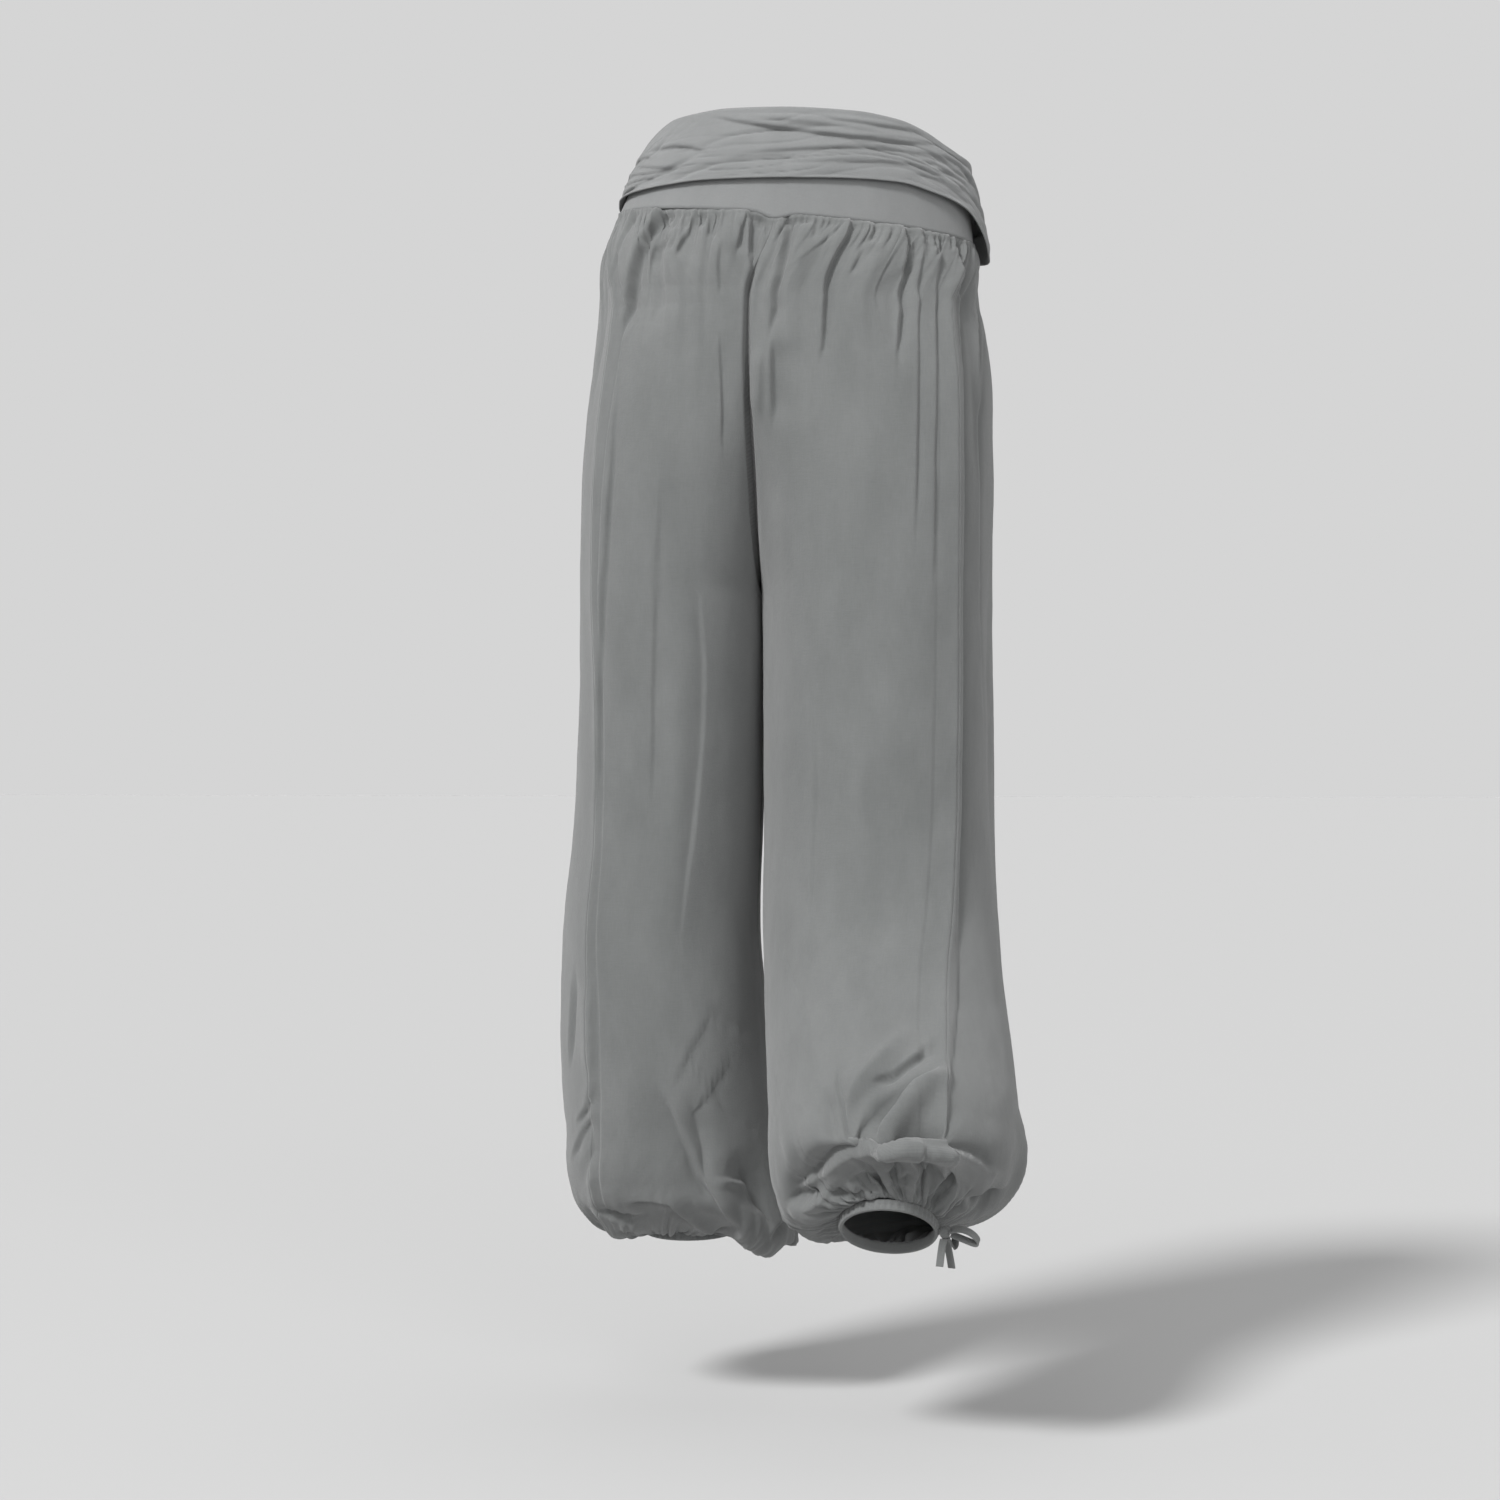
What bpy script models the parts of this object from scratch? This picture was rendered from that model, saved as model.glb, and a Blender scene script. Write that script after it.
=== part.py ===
"""Harem trousers: four gathered leg panels, a fold-over jersey band, elastic cuffs and a cuff tie.

The garment keeps its worn, hollow, walking form. Tables are in millimetres, meshes in metres.
+X is the wearer's right, +Y the wearer's front, +Z up; the origin is the middle of the waist seam.
"""
import math
from collections import namedtuple
from functools import lru_cache

import bpy
import numpy as np

MM = 0.001
CLOTH = 1.3
KNIT = 1.5
SEAM_GAP = 0.3
LEFT, RIGHT = -1, 1

# The waist seam rolls down to the wearer's right, dips in front and has a small point behind.
WAIST_BACK, WAIST_FRONT = -100.0, 96.0
WAIST_ROLL = 0.098
FRONT_DIP = 12.0
POINT_DIP, POINT_WIDTH = 5.0, 11.0
ROLL_FADES_BY = 130.0

# The centre seams lean towards the standing (left) leg, then run under the crotch.
CENTRE_LEAN = -21.0
LEAN_BY = 70.0
CROTCH = -310.0
CROTCH_Y = -4.0
SEAT_SWELL, BELLY_SWELL = 17.0, 13.0
SEAMS_PART_BY = 120.0

# One row for each cross-section of a leg, from the waist seam to the cuff.
# level: height at the sides. outer, inner: distance of the outer and inner edge from the centre seams'
# plane (inner is unused above the crotch). back, front: reach along Y. lift_*: how far the ring's back,
# front, outer and inner points lie above level. turn: angle of the side seam behind the pure side.
Section = namedtuple("Section", "level outer inner back front lift_back lift_front "
                                "lift_outer lift_inner turn squareness")
SECTIONS = {
    LEFT: [
        Section(0, 146, 0, -100, 96, 0, 0, 0, 0, 12, 2.0),
        Section(-25, 149, 0, -107, 101, 0, 0, 0, 0, 24, 2.0),
        Section(-60, 140, 0, -113, 104, 0, 0, 0, 0, 34, 2.05),
        Section(-120, 146, 0, -118, 107, 0, 0, 0, 0, 42, 2.1),
        Section(-200, 154, 0, -116, 109, 0, 0, 0, 0, 48, 2.2),
        Section(-310, 159, 0, -103, 111, 0, 0, 0, 0, 54, 2.3),
        Section(-420, 163, 2, -90, 114, 0, 0, 0, 0, 59, 2.3),
        Section(-520, 169, 7, -80, 119, 0, 0, 0, 0, 61, 2.3),
        Section(-600, 178, 10, -72, 126, 0, 0, 0, 0, 61, 2.3),
        Section(-680, 182, 3, -64, 134, 0, 0, 0, 0, 62, 2.3),
        Section(-760, 181, -4, -54, 146, 0, 0, 0, 0, 58, 2.25),
        Section(-815, 180, -14, -42, 158, 4, -4, 0, -4, 52, 2.2),
        Section(-843, 171, -19, -30, 160, 12, -6, -4, -14, 46, 2.15),
        Section(-857, 158, -16, -8, 154, 16, -7, -7, -21, 39, 2.1),
        Section(-864, 144, -2, 14, 144, 10, -3, -4, -12, 30, 2.05),
        Section(-862, 129, 20, 32, 137, -1, 2, 0, -2, 24, 2.0),
        Section(-861, 118, 40, 48, 126, -3, 3, 0, 0, 20, 2.0),
    ],
    RIGHT: [
        Section(0, 157, 0, -100, 96, 0, 0, 0, 0, 14, 2.0),
        Section(-25, 166, 0, -108, 101, 0, 0, 0, 0, 22, 2.0),
        Section(-60, 180, 0, -115, 104, 0, 0, 0, 0, 30, 2.05),
        Section(-120, 193, 0, -123, 106, 0, 0, 0, 0, 37, 2.1),
        Section(-200, 195, 0, -126, 108, 0, 0, 0, 0, 42, 2.2),
        Section(-310, 194, 0, -123, 109, 0, 0, 0, 0, 46, 2.3),
        Section(-420, 196, 1, -119, 108, 0, 0, 0, 0, 48, 2.3),
        Section(-520, 197, 2, -120, 102, 0, 0, 0, 0, 50, 2.3),
        Section(-580, 200, 3, -130, 86, 6, -5, 0, 0, 53, 2.3),
        Section(-640, 207, 8, -158, 50, 16, -16, 0, 0, 58, 2.25),
        Section(-700, 219, 16, -204, 0, 26, -28, 0, 0, 62, 2.2),
        Section(-750, 225, 24, -250, -42, 32, -38, 0, 0, 62, 2.15),
        Section(-782, 222, 27, -267, -58, 36, -46, 0, 0, 57, 2.1),
        Section(-804, 209, 31, -258, -66, 49, -34, 0, -2, 49, 2.1),
        Section(-818, 196, 39, -243, -82, 51, -26, 6, -8, 36, 2.05),
        Section(-823, 179, 60, -231, -113, 37, -20, 7, -8, 28, 2.0),
        Section(-821, 164, 86, -220, -156, 22, -22, 0, 0, 20, 2.0),
    ],
}


def smooth(value):
    """Smooth step from 0 to 1."""
    value = np.clip(value, 0.0, 1.0)
    return value * value * (3.0 - 2.0 * value)


def seam_height(x, y):
    """Height of the waist seam over a point of the waist ring."""
    point = POINT_DIP * np.exp(-(x / POINT_WIDTH) ** 2) * (y < 0)
    return -WAIST_ROLL * x - FRONT_DIP * (np.maximum(y, 0.0) / WAIST_FRONT) ** 2 - point


def centre_plane(z):
    """X of the centre seams at a height."""
    return CENTRE_LEAN * smooth(-z / LEAN_BY)


def crotch_curve(z):
    """Y of the centre-back and the centre-front seam at a height above the crotch."""
    drop = np.clip(z / CROTCH, 0.0, 1.0)
    arch = np.sqrt(1.0 - drop ** 3)
    swell = np.sin(math.pi * np.minimum(drop / 0.75, 1.0))
    back = CROTCH_Y + (WAIST_BACK - CROTCH_Y - SEAT_SWELL * swell) * arch
    front = CROTCH_Y + (WAIST_FRONT - CROTCH_Y + BELLY_SWELL * swell) * arch
    return back, front


def key_points(section):
    """Back, front, outer and inner point of a section, in the plane's own frame."""
    middle = (section.outer + section.inner) / 2
    depth = (section.back + section.front) / 2
    return np.array([
        (middle, section.back, section.level + section.lift_back),
        (middle, section.front, section.level + section.lift_front),
        (section.outer, depth, section.level + section.lift_outer),
        (section.inner, depth, section.level + section.lift_inner),
    ])


def run_lengths(sections):
    """Mean distance down the cloth from the waist seam to each section."""
    steps = [0.0]
    for upper, lower in zip(sections, sections[1:]):
        hidden = 3 if lower.level >= CROTCH else 4
        gaps = key_points(upper)[:hidden] - key_points(lower)[:hidden]
        steps.append(np.linalg.norm(gaps, axis=1).mean())
    return np.cumsum(steps)


RUNS = {side: run_lengths(SECTIONS[side]) for side in SECTIONS}
CROTCH_ROW = {side: RUNS[side][[row.level for row in SECTIONS[side]].index(CROTCH)] for side in SECTIONS}
LAST_ROW = {side: RUNS[side][-1] for side in SECTIONS}


@lru_cache(maxsize=None)
def section_at(side, run):
    """Section at a distance down the cloth, by a cubic through the table's rows."""
    runs = RUNS[side]
    table = np.array(SECTIONS[side], dtype=float)
    slopes = np.gradient(table, runs, axis=0)
    slopes[0] = (table[1] - table[0]) / (runs[1] - runs[0])
    span = int(np.clip(np.searchsorted(runs, run, side="right") - 1, 0, len(runs) - 2))
    width = runs[span + 1] - runs[span]
    t = (run - runs[span]) / width
    value = (table[span] * (2 * t ** 3 - 3 * t ** 2 + 1)
             + slopes[span] * width * (t ** 3 - 2 * t ** 2 + t)
             + table[span + 1] * (3 * t ** 2 - 2 * t ** 3)
             + slopes[span + 1] * width * (t ** 3 - t ** 2))
    return Section(*value)


DENSE = 481


@lru_cache(maxsize=None)
def ring(side, run):
    """Smooth ring of a leg: points from centre back round the outer side to centre front.

    The second array is the distance of each point from the side seam, along the ring.
    """
    row = section_at(side, float(run))
    middle_y = (row.back + row.front) / 2
    half_depth = (row.front - row.back) / 2
    power = 2.0 / row.squareness
    if run < CROTCH_ROW[side]:
        back_seam, front_seam = crotch_curve(row.level)
        opening = ((front_seam - back_seam) / (2 * half_depth))
        over = math.acos(min(max(opening, 0.0), 1.0) ** (1.0 / power))
        share = math.sin(over) ** power
        centre = row.outer * share / (1.0 + share)
        half_width = row.outer - centre
    else:
        over = math.pi / 2
        centre = (row.outer + row.inner) / 2
        half_width = (row.outer - row.inner) / 2
    angle = np.linspace(-math.pi / 2 - over, math.pi / 2 + over, DENSE)
    cosine, sine = np.cos(angle), np.sin(angle)
    across = centre + half_width * np.sign(cosine) * np.abs(cosine) ** power
    y = middle_y + half_depth * np.sign(sine) * np.abs(sine) ** power
    z = (row.level
         + (row.lift_back + row.lift_front) / 2 * sine ** 2 - (row.lift_back - row.lift_front) / 2 * sine
         + (row.lift_outer + row.lift_inner) / 2 * cosine ** 2
         + (row.lift_outer - row.lift_inner) / 2 * cosine)
    if run >= CROTCH_ROW[side]:
        apart = smooth((run - CROTCH_ROW[side]) / SEAMS_PART_BY)
        back_seam = front_seam = y[0] + (CROTCH_Y - y[0]) * (1.0 - apart)
    else:
        across[0] = across[-1] = 0.0
    near_back = smooth((-angle - math.radians(40)) / (over + math.radians(50)))
    near_front = smooth((angle - math.radians(40)) / (over + math.radians(50)))
    y = y + near_back * (back_seam - y[0]) + near_front * (front_seam - y[-1])
    fade = 1.0 - smooth(run / ROLL_FADES_BY)
    x = side * np.maximum(across, 0.0 if row.level > -700 else -100.0) + centre_plane(z)
    lowered = z + fade * seam_height(x, y)
    x = x + (near_back + near_front) * (centre_plane(lowered) - centre_plane(z))
    z = lowered
    points = np.column_stack((x, y, z))
    steps = np.linalg.norm(np.diff(points[:, :2], axis=0), axis=1)
    length = np.concatenate(([0.0], np.cumsum(steps)))
    seam = np.interp(-math.radians(row.turn), angle, length)
    return points, length - seam


def across_to_length(lengths, w):
    """Distance from the side seam of w: 0 centre back, 1 side seam, 2 centre front."""
    return np.where(w < 1.0, lengths[0] * (1.0 - w), lengths[-1] * (w - 1.0))


def smooth_points(side, w, run):
    """Points of the leg without its folds."""
    points, lengths = ring(side, float(run))
    along = across_to_length(lengths, w)
    return np.column_stack([np.interp(along, lengths, points[:, axis]) for axis in range(3)])


def normals(surface, side, w, run):
    """Outward normals of a surface by differences along w and down the leg."""
    step_w, step_run = 0.012, 1.5
    after, before = np.minimum(w + step_w, 2.0), np.maximum(w - step_w, 0.0)
    low = min(max(run - step_run, 0.0), LAST_ROW[side] - 2 * step_run)
    around = surface(side, after, run) - surface(side, before, run)
    down = surface(side, w, low + 2 * step_run) - surface(side, w, low)
    cross = side * np.cross(down, around)
    return cross / np.maximum(np.linalg.norm(cross, axis=1), 1e-9)[:, None]


# ------------------------------------------------------------------ folds and gathers
# Gathers: even number of cloth waves along each panel's edge, uneven in pitch and depth.
WAVES = {"back": 18, "front": 22}
GATHER_TOP = 2.1
GATHER_TOP_FADE = 42.0
GATHER_CUFF = 1.6
GATHER_CUFF_FADE = 48.0
BROAD_SHARE = 3
CROWDED_LOSS = 0.35
SEAM_CALM, SEAM_CALM_WIDTH = 0.5, 0.06
BROAD_TOP, BROAD_TOP_FADE = 2.6, 95.0
BROAD_CUFF, BROAD_CUFF_FADE = 2.3, 80.0
RIDGE = 5.0
RIDGE_BACK_WIDTH, RIDGE_FRONT_WIDTH = 34.0, 20.0

# One row for each fold: width and height of the ridge (a trough is negative), then three points of
# its line, as the distance from the side seam (minus is towards centre back) and the run down the leg.
Fold = namedtuple("Fold", "width height across_1 run_1 across_2 run_2 across_3 run_3")
FOLDS = {
    LEFT: [
        Fold(9, -8, -73, 4, -52, 40, -36, 112),
        Fold(10, 4, -90, 6, -72, 45, -58, 120),
        Fold(8, -4, -104, 8, -97, 28, -80, 58),
        Fold(10, -4, -130, 24, -127, 70, -124, 112),
        Fold(8, -5, -153, 4, -149, 60, -146, 130),
        Fold(10, -5, 22, 8, 27, 70, 30, 170),
        Fold(12, 4, 62, 8, 66, 60, 70, 140),
        Fold(11, -6, 98, 6, 102, 70, 104, 190),
        Fold(12, 4, 138, 8, 140, 60, 142, 130),
        Fold(10, -6, 178, 6, 180, 60, 184, 150),
        Fold(10, -5, 222, 10, 226, 70, 230, 180),
        Fold(26, 4, -70, 330, -68, 480, -72, 640),
        Fold(24, -4, 70, 260, 78, 430, 84, 600),
        Fold(26, 4, 160, 300, 168, 470, 176, 640),
        Fold(11, -6, -82, 730, -100, 790, -108, 850),
        Fold(13, 7, -98, 760, -116, 830, -138, 890),
        Fold(17, -9, -126, 785, -150, 830, -174, 876),
        Fold(10, 5, -65, 850, -84, 878, -112, 906),
        Fold(8, -4, 6, 745, -2, 790, 10, 830),
        Fold(12, -5, 60, 760, 84, 810, 96, 862),
        Fold(14, 5, 120, 750, 140, 810, 150, 870),
        Fold(12, -6, 190, 770, 186, 820, 180, 880),
        Fold(24, 10, -64, 884, -30, 886, 20, 884),
        Fold(26, 11, -190, 884, -145, 888, -100, 888),
    ],
    RIGHT: [
        Fold(10, -6, -161, 4, -163, 48, -157, 118),
        Fold(11, 4, -143, 10, -141, 60, -138, 130),
        Fold(10, -5, -126, 10, -122, 50, -116, 150),
        Fold(8, -4, -101, 6, -100, 18, -98, 38),
        Fold(10, 4, -82, 8, -78, 60, -74, 130),
        Fold(12, -5, -66, 8, -55, 60, -52, 142),
        Fold(9, -2.5, -36, 10, -33, 30, -31, 72),
        Fold(11, -5, 19, 18, 30, 110, 34, 250),
        Fold(12, 4, 60, 8, 62, 60, 66, 150),
        Fold(11, -6, 96, 6, 100, 70, 104, 190),
        Fold(12, 4, 138, 8, 140, 60, 142, 130),
        Fold(10, -6, 178, 6, 180, 60, 184, 150),
        Fold(10, -5, 224, 10, 226, 70, 230, 180),
        Fold(28, 4, -66, 380, -80, 500, -60, 620),
        Fold(24, -4, 80, 260, 86, 430, 84, 600),
        Fold(26, 4, 170, 300, 176, 470, 170, 640),
        Fold(12, 6, -90, 822, -68, 780, -20, 712),
        Fold(11, 6, -120, 862, -45, 838, 48, 846),
        Fold(10, -8, -92, 850, -74, 806, -17, 736),
        Fold(9, -6, -83, 850, -49, 806, -15, 766),
        Fold(9, -5, -98, 780, -95, 815, -94, 850),
        Fold(11, -7, 92, 846, 50, 866, 12, 888),
        Fold(12, 6, 110, 770, 120, 830, 130, 880),
        Fold(12, -7, 160, 760, 156, 820, 150, 880),
        Fold(12, 6, 200, 770, 196, 830, 190, 880),
    ],
}


def uneven(share):
    """Share across a panel, stretched unevenly, still running from 0 to 1."""
    return share + 0.022 * np.sin(2 * math.pi * 3 * share) + 0.011 * np.sin(2 * math.pi * 7 * share)


def crowding(share):
    """How closely the gathers follow one another across a panel, at 1 where evenly spaced."""
    return 1.0 + 0.415 * np.cos(2 * math.pi * 3 * share) + 0.484 * np.cos(2 * math.pi * 7 * share)


def gather_columns(spans):
    """Shares across a panel at which its gathers crest and dip, for a number of spans."""
    fine = np.linspace(0.0, 1.0, 2001)
    return np.interp(np.linspace(0.0, 1.0, spans + 1), uneven(fine), fine)


def gathers(side, w, run):
    """Height of the gathers under the waist seam and above the cuff.

    Fine ones merge into a third as many broad ones further from the seam.
    """
    to_cuff = LAST_ROW[side] - run
    broad = (smooth(run / 22.0) * np.exp(-(run / BROAD_TOP_FADE) ** 2) * BROAD_TOP
             + smooth(to_cuff / 20.0) * np.exp(-(to_cuff / BROAD_CUFF_FADE) ** 2) * BROAD_CUFF)
    top = (0.25 + smooth(run / 9.0)) * np.exp(-(run / GATHER_TOP_FADE) ** 2) * GATHER_TOP
    foot = smooth(to_cuff / 8.0) * np.exp(-(to_cuff / GATHER_CUFF_FADE) ** 2) * GATHER_CUFF
    calm = 1.0 - SEAM_CALM * np.exp(-((w - 1.0) / SEAM_CALM_WIDTH) ** 2)
    height = np.zeros_like(w)
    for name, share in (("back", w), ("front", w - 1.0)):
        inside = (share >= 0.0) & (share <= 1.0)
        wave = np.cos(2 * math.pi * WAVES[name] * uneven(share))
        depth = 1.0 + 0.25 * np.sin(11.0 * share + 1.7 * side) + 0.12 * np.sin(29.0 * share + side)
        depth = depth * (1.0 - CROWDED_LOSS * np.clip(crowding(share) - 1.0, 0.0, 1.0))
        merged = np.cos(2 * math.pi * (WAVES[name] // BROAD_SHARE) * uneven(share) + 0.8 * side)
        merged = merged * (1.0 + 0.4 * np.sin(7.0 * share + side))
        height = np.where(inside, calm * wave * depth * (top + foot) + merged * broad, height)
    return height


def fold_height(fold, along, run):
    """Height of one fold: a rounded ridge about a bent line, tapered to both ends."""
    line = np.array([(fold.across_1, fold.run_1), (fold.across_2, fold.run_2), (fold.across_3, fold.run_3)])
    best = np.full(along.shape, 1e9)
    place = np.zeros(along.shape)
    total = np.linalg.norm(np.diff(line, axis=0), axis=1)
    start = 0.0
    for first, last, length in zip(line, line[1:], total):
        way = (last - first) / length
        t = np.clip((along - first[0]) * way[0] + (run - first[1]) * way[1], 0.0, length)
        gap = np.hypot(along - first[0] - t * way[0], run - first[1] - t * way[1])
        place = np.where(gap < best, (start + t) / total.sum(), place)
        best = np.minimum(best, gap)
        start += length
    taper = np.sin(math.pi * np.clip(place, 0.0, 1.0)) ** 0.7
    return fold.height * taper * np.exp(-(best / fold.width) ** 2)


def relief(side, w, run):
    """Height of all folds over the smooth leg."""
    lengths = ring(side, float(run))[1]
    along = across_to_length(lengths, w)
    width = np.where(along < 0.0, RIDGE_BACK_WIDTH, RIDGE_FRONT_WIDTH)
    ends = smooth(run / 60.0) * smooth((LAST_ROW[side] - run) / 140.0)
    height = gathers(side, w, run) + RIDGE * ends * np.exp(-np.abs(along) / width)
    for fold in FOLDS[side]:
        height = height + fold_height(fold, along, run)
    edge = np.minimum(along - lengths[0], lengths[-1] - along)
    return height * smooth(edge / 9.0)


def leg_points(side, w, run):
    """Outer points of the leg's cloth."""
    base = smooth_points(side, w, run)
    points = base + normals(smooth_points, side, w, run) * relief(side, w, run)[:, None]
    if run < CROTCH_ROW[side] + 250.0:
        limit = centre_plane(points[:, 2])
        own = np.maximum(side * (points[:, 0] - limit), SEAM_GAP / 2)
        points[:, 0] = limit + side * own
    return points


# ------------------------------------------------------------------ solids
def strip(first, second):
    """Triangles between two rows of indices, of which one may have twice the spans of the other.

    Each four-sided cell is split the same way on both sides of a wall, so a twisted wall keeps its
    thickness.
    """
    if len(first) == len(second):
        faces = []
        for i in range(len(first) - 1):
            faces += [(first[i], first[i + 1], second[i + 1]), (first[i], second[i + 1], second[i])]
        return faces
    if len(first) < len(second):
        return [face[::-1] for face in strip(second, first)]
    faces = []
    for i in range(len(second) - 1):
        left, middle, right = first[2 * i:2 * i + 3]
        faces += [(left, middle, second[i]), (middle, second[i + 1], second[i]),
                  (middle, right, second[i + 1])]
    return faces


def volume(vertices, faces):
    """Signed volume inside the faces."""
    total = 0.0
    for face in faces:
        for second, third in zip(face[1:], face[2:]):
            total += np.dot(vertices[face[0]], np.cross(vertices[second], vertices[third]))
    return total


def add_body(name, vertices, faces, material):
    """Make one closed object from points in millimetres."""
    vertices = np.asarray(vertices)
    if volume(vertices, faces) < 0.0:
        faces = [face[::-1] for face in faces]
    mesh = bpy.data.meshes.new(name)
    mesh.from_pydata((vertices * MM).tolist(), [], faces)
    mesh.materials.append(material)
    mesh.shade_smooth()
    mesh.set_sharp_from_angle(angle=math.radians(60))
    body = bpy.data.objects.new(name, mesh)
    bpy.context.collection.objects.link(body)
    return body


def wall_body(name, outer, inner, material, closed=False):
    """Make a cloth wall from rows of outer and inner points; closed rows run all round."""
    vertices = np.vstack(outer + inner)
    counts = [len(row) for row in outer + inner]
    starts = np.concatenate(([0], np.cumsum(counts)))[:-1]
    rows = []
    for start, count in zip(starts, counts):
        row = [int(start) + i for i in range(count)]
        rows.append(row + row[:1] if closed else row)
    outside, inside = rows[:len(outer)], rows[len(outer):]
    faces = []
    for upper, lower in zip(outside, outside[1:]):
        faces += strip(upper, lower)
    for upper, lower in zip(inside, inside[1:]):
        faces += [face[::-1] for face in strip(upper, lower)]
    faces += strip(inside[0], outside[0]) + strip(outside[-1], inside[-1])
    if not closed:
        for edge in (0, -1):
            ladder = []
            for i in range(len(outer) - 1):
                far = inside[i + 1][edge]
                ladder.append((outside[i][edge], outside[i + 1][edge], far))
                ladder.append((outside[i][edge], far, inside[i][edge]))
            faces += ladder if edge == 0 else [face[::-1] for face in ladder]
    return add_body(name, vertices, faces, material)


def wall_normals(side, w, run):
    """Normals of the folded cloth, the same for both panels where they meet in the inseam."""
    facing = normals(leg_points, side, w, run)
    if run >= CROTCH_ROW[side]:
        both = normals(leg_points, side, np.array([0.0, 2.0]), run).sum(axis=0)
        both /= np.linalg.norm(both)
        facing[w <= 0.0] = both
        facing[w >= 2.0] = both
    return facing


# Rows of a panel: distances below the waist seam, then shares of the way from the seam to the crotch and
# from the crotch to the cuff. The fine rows have two columns to each span of the gathers.
FINE_TOP = (6.0, 15.0, 31.0, 50.0, 82.0, 128.0)
UPPER_ROWS = (0.60, 0.76, 0.89, 0.97, 1.0)
LOWER_ROWS = (0.12, 0.26, 0.40, 0.54, 0.67)
FINE_FOOT = (0.76, 0.82, 0.86, 0.89, 0.92, 0.95, 0.978)


def panel_rows(side):
    """Runs of a panel's rows, each with whether it has the gathers' fine columns."""
    crotch, last = CROTCH_ROW[side], LAST_ROW[side]
    rows = [(SEAM_GAP / 2, True)] + [(run, True) for run in FINE_TOP]
    rows += [(share * crotch, False) for share in UPPER_ROWS]
    rows += [(crotch + share * (last - crotch), False) for share in LOWER_ROWS]
    rows += [(crotch + share * (last - crotch), True) for share in FINE_FOOT]
    return rows + [(last - SEAM_GAP / 2, True)]


def leg_panel(side, panel, material):
    """Back or front panel of one leg."""
    spans = WAVES[panel]
    outer, inner = [], []
    for run, fine in panel_rows(side):
        share = gather_columns(2 * spans if fine else spans)
        w = share if panel == "back" else 1.0 + share
        points = leg_points(side, w, run)
        wall = wall_normals(side, w, run) * CLOTH
        first_way = points[1] - points[0]
        last_way = points[-2] - points[-1]
        points[0] += first_way / np.linalg.norm(first_way) * SEAM_GAP / 2
        points[-1] += last_way / np.linalg.norm(last_way) * SEAM_GAP / 2
        outer.append(points)
        inner.append(points - wall)
    side_name = "left" if side == LEFT else "right"
    return wall_body(f"leg_{side_name}_{panel}", outer, inner, material)


# ------------------------------------------------------------------ fold-over waistband
# Around is in degrees from centre back, to the wearer's right. top and edge: heights of the upper fold
# and of the free edge; stand_off: how far the free edge stands out from the waist.
BandSection = namedtuple("BandSection", "around top edge stand_off")
BAND = [
    BandSection(-180, 42, -30, 15.0),
    BandSection(-140, 48, -12, 14.0),
    BandSection(-105, 57, 16, 7.5),
    BandSection(-88, 65, 25, 5.5),
    BandSection(-72, 75, 27, 5.0),
    BandSection(-56, 87, 28, 5.0),
    BandSection(-30, 90, 30, 4.5),
    BandSection(0, 88, 29, 4.5),
    BandSection(25, 84, 28, 4.5),
    BandSection(41, 78, 26, 5.0),
    BandSection(52, 70, 20, 5.5),
    BandSection(61, 62, 16, 6.5),
    BandSection(72, 56, 8, 9.0),
    BandSection(82, 54, -10, 12.0),
    BandSection(91, 53, -29, 13.0),
    BandSection(102, 51, -30, 13.5),
    BandSection(125, 46, -25, 15.0),
    BandSection(150, 43, -28, 15.0),
    BandSection(180, 42, -30, 15.0),
]
BAND_COLUMNS = 56
BAND_LEAN = 0.19
BAND_TAPER = 0.28
BAND_DEPTH_TAPER = 0.09
FOLD_RADIUS = 2.2
INNER_ROWS, TURN_ROWS, OUTER_ROWS = 2, 3, 9

# One row for each wrinkle of the turned-down layer: width and height (a trough is negative), then
# three points of its line as degrees around and height.
Wrinkle = namedtuple("Wrinkle", "width height around_1 z_1 around_2 z_2 around_3 z_3")
WRINKLES = [
    Wrinkle(4.5, -3.2, -10, 80, 14, 68, 44, 59),
    Wrinkle(3.5, -2.0, 0, 82, 38, 71, 64, 62),
    Wrinkle(3.5, -1.8, -59, 62, -42, 59, -24, 52),
    Wrinkle(3.5, -1.8, 0, 53, 25, 54, 42, 54),
    Wrinkle(3.5, -2.2, -72, 50, -52, 47, -36, 44),
    Wrinkle(3.5, -2.2, 48, 58, 63, 47, 79, 27),
    Wrinkle(3.5, -2.2, 18, 44, 45, 43, 77, 17),
    Wrinkle(3.5, -2.0, 54, 72, 64, 61, 74, 40),
    Wrinkle(4.0, -2.5, 98, 40, 130, 30, 166, 26),
    Wrinkle(4.0, -2.2, 104, 18, 145, 8, 176, 2),
    Wrinkle(4.0, -2.5, -172, 28, -135, 36, -98, 48),
    Wrinkle(4.0, -2.2, -176, 4, -140, 14, -104, 30),
]


def band_row(around):
    """Top, free edge and stand-off of the band at angles in degrees."""
    table = np.array(BAND, dtype=float)
    return [np.interp(around, table[:, 0], table[:, column]) for column in (1, 2, 3)]


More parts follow.
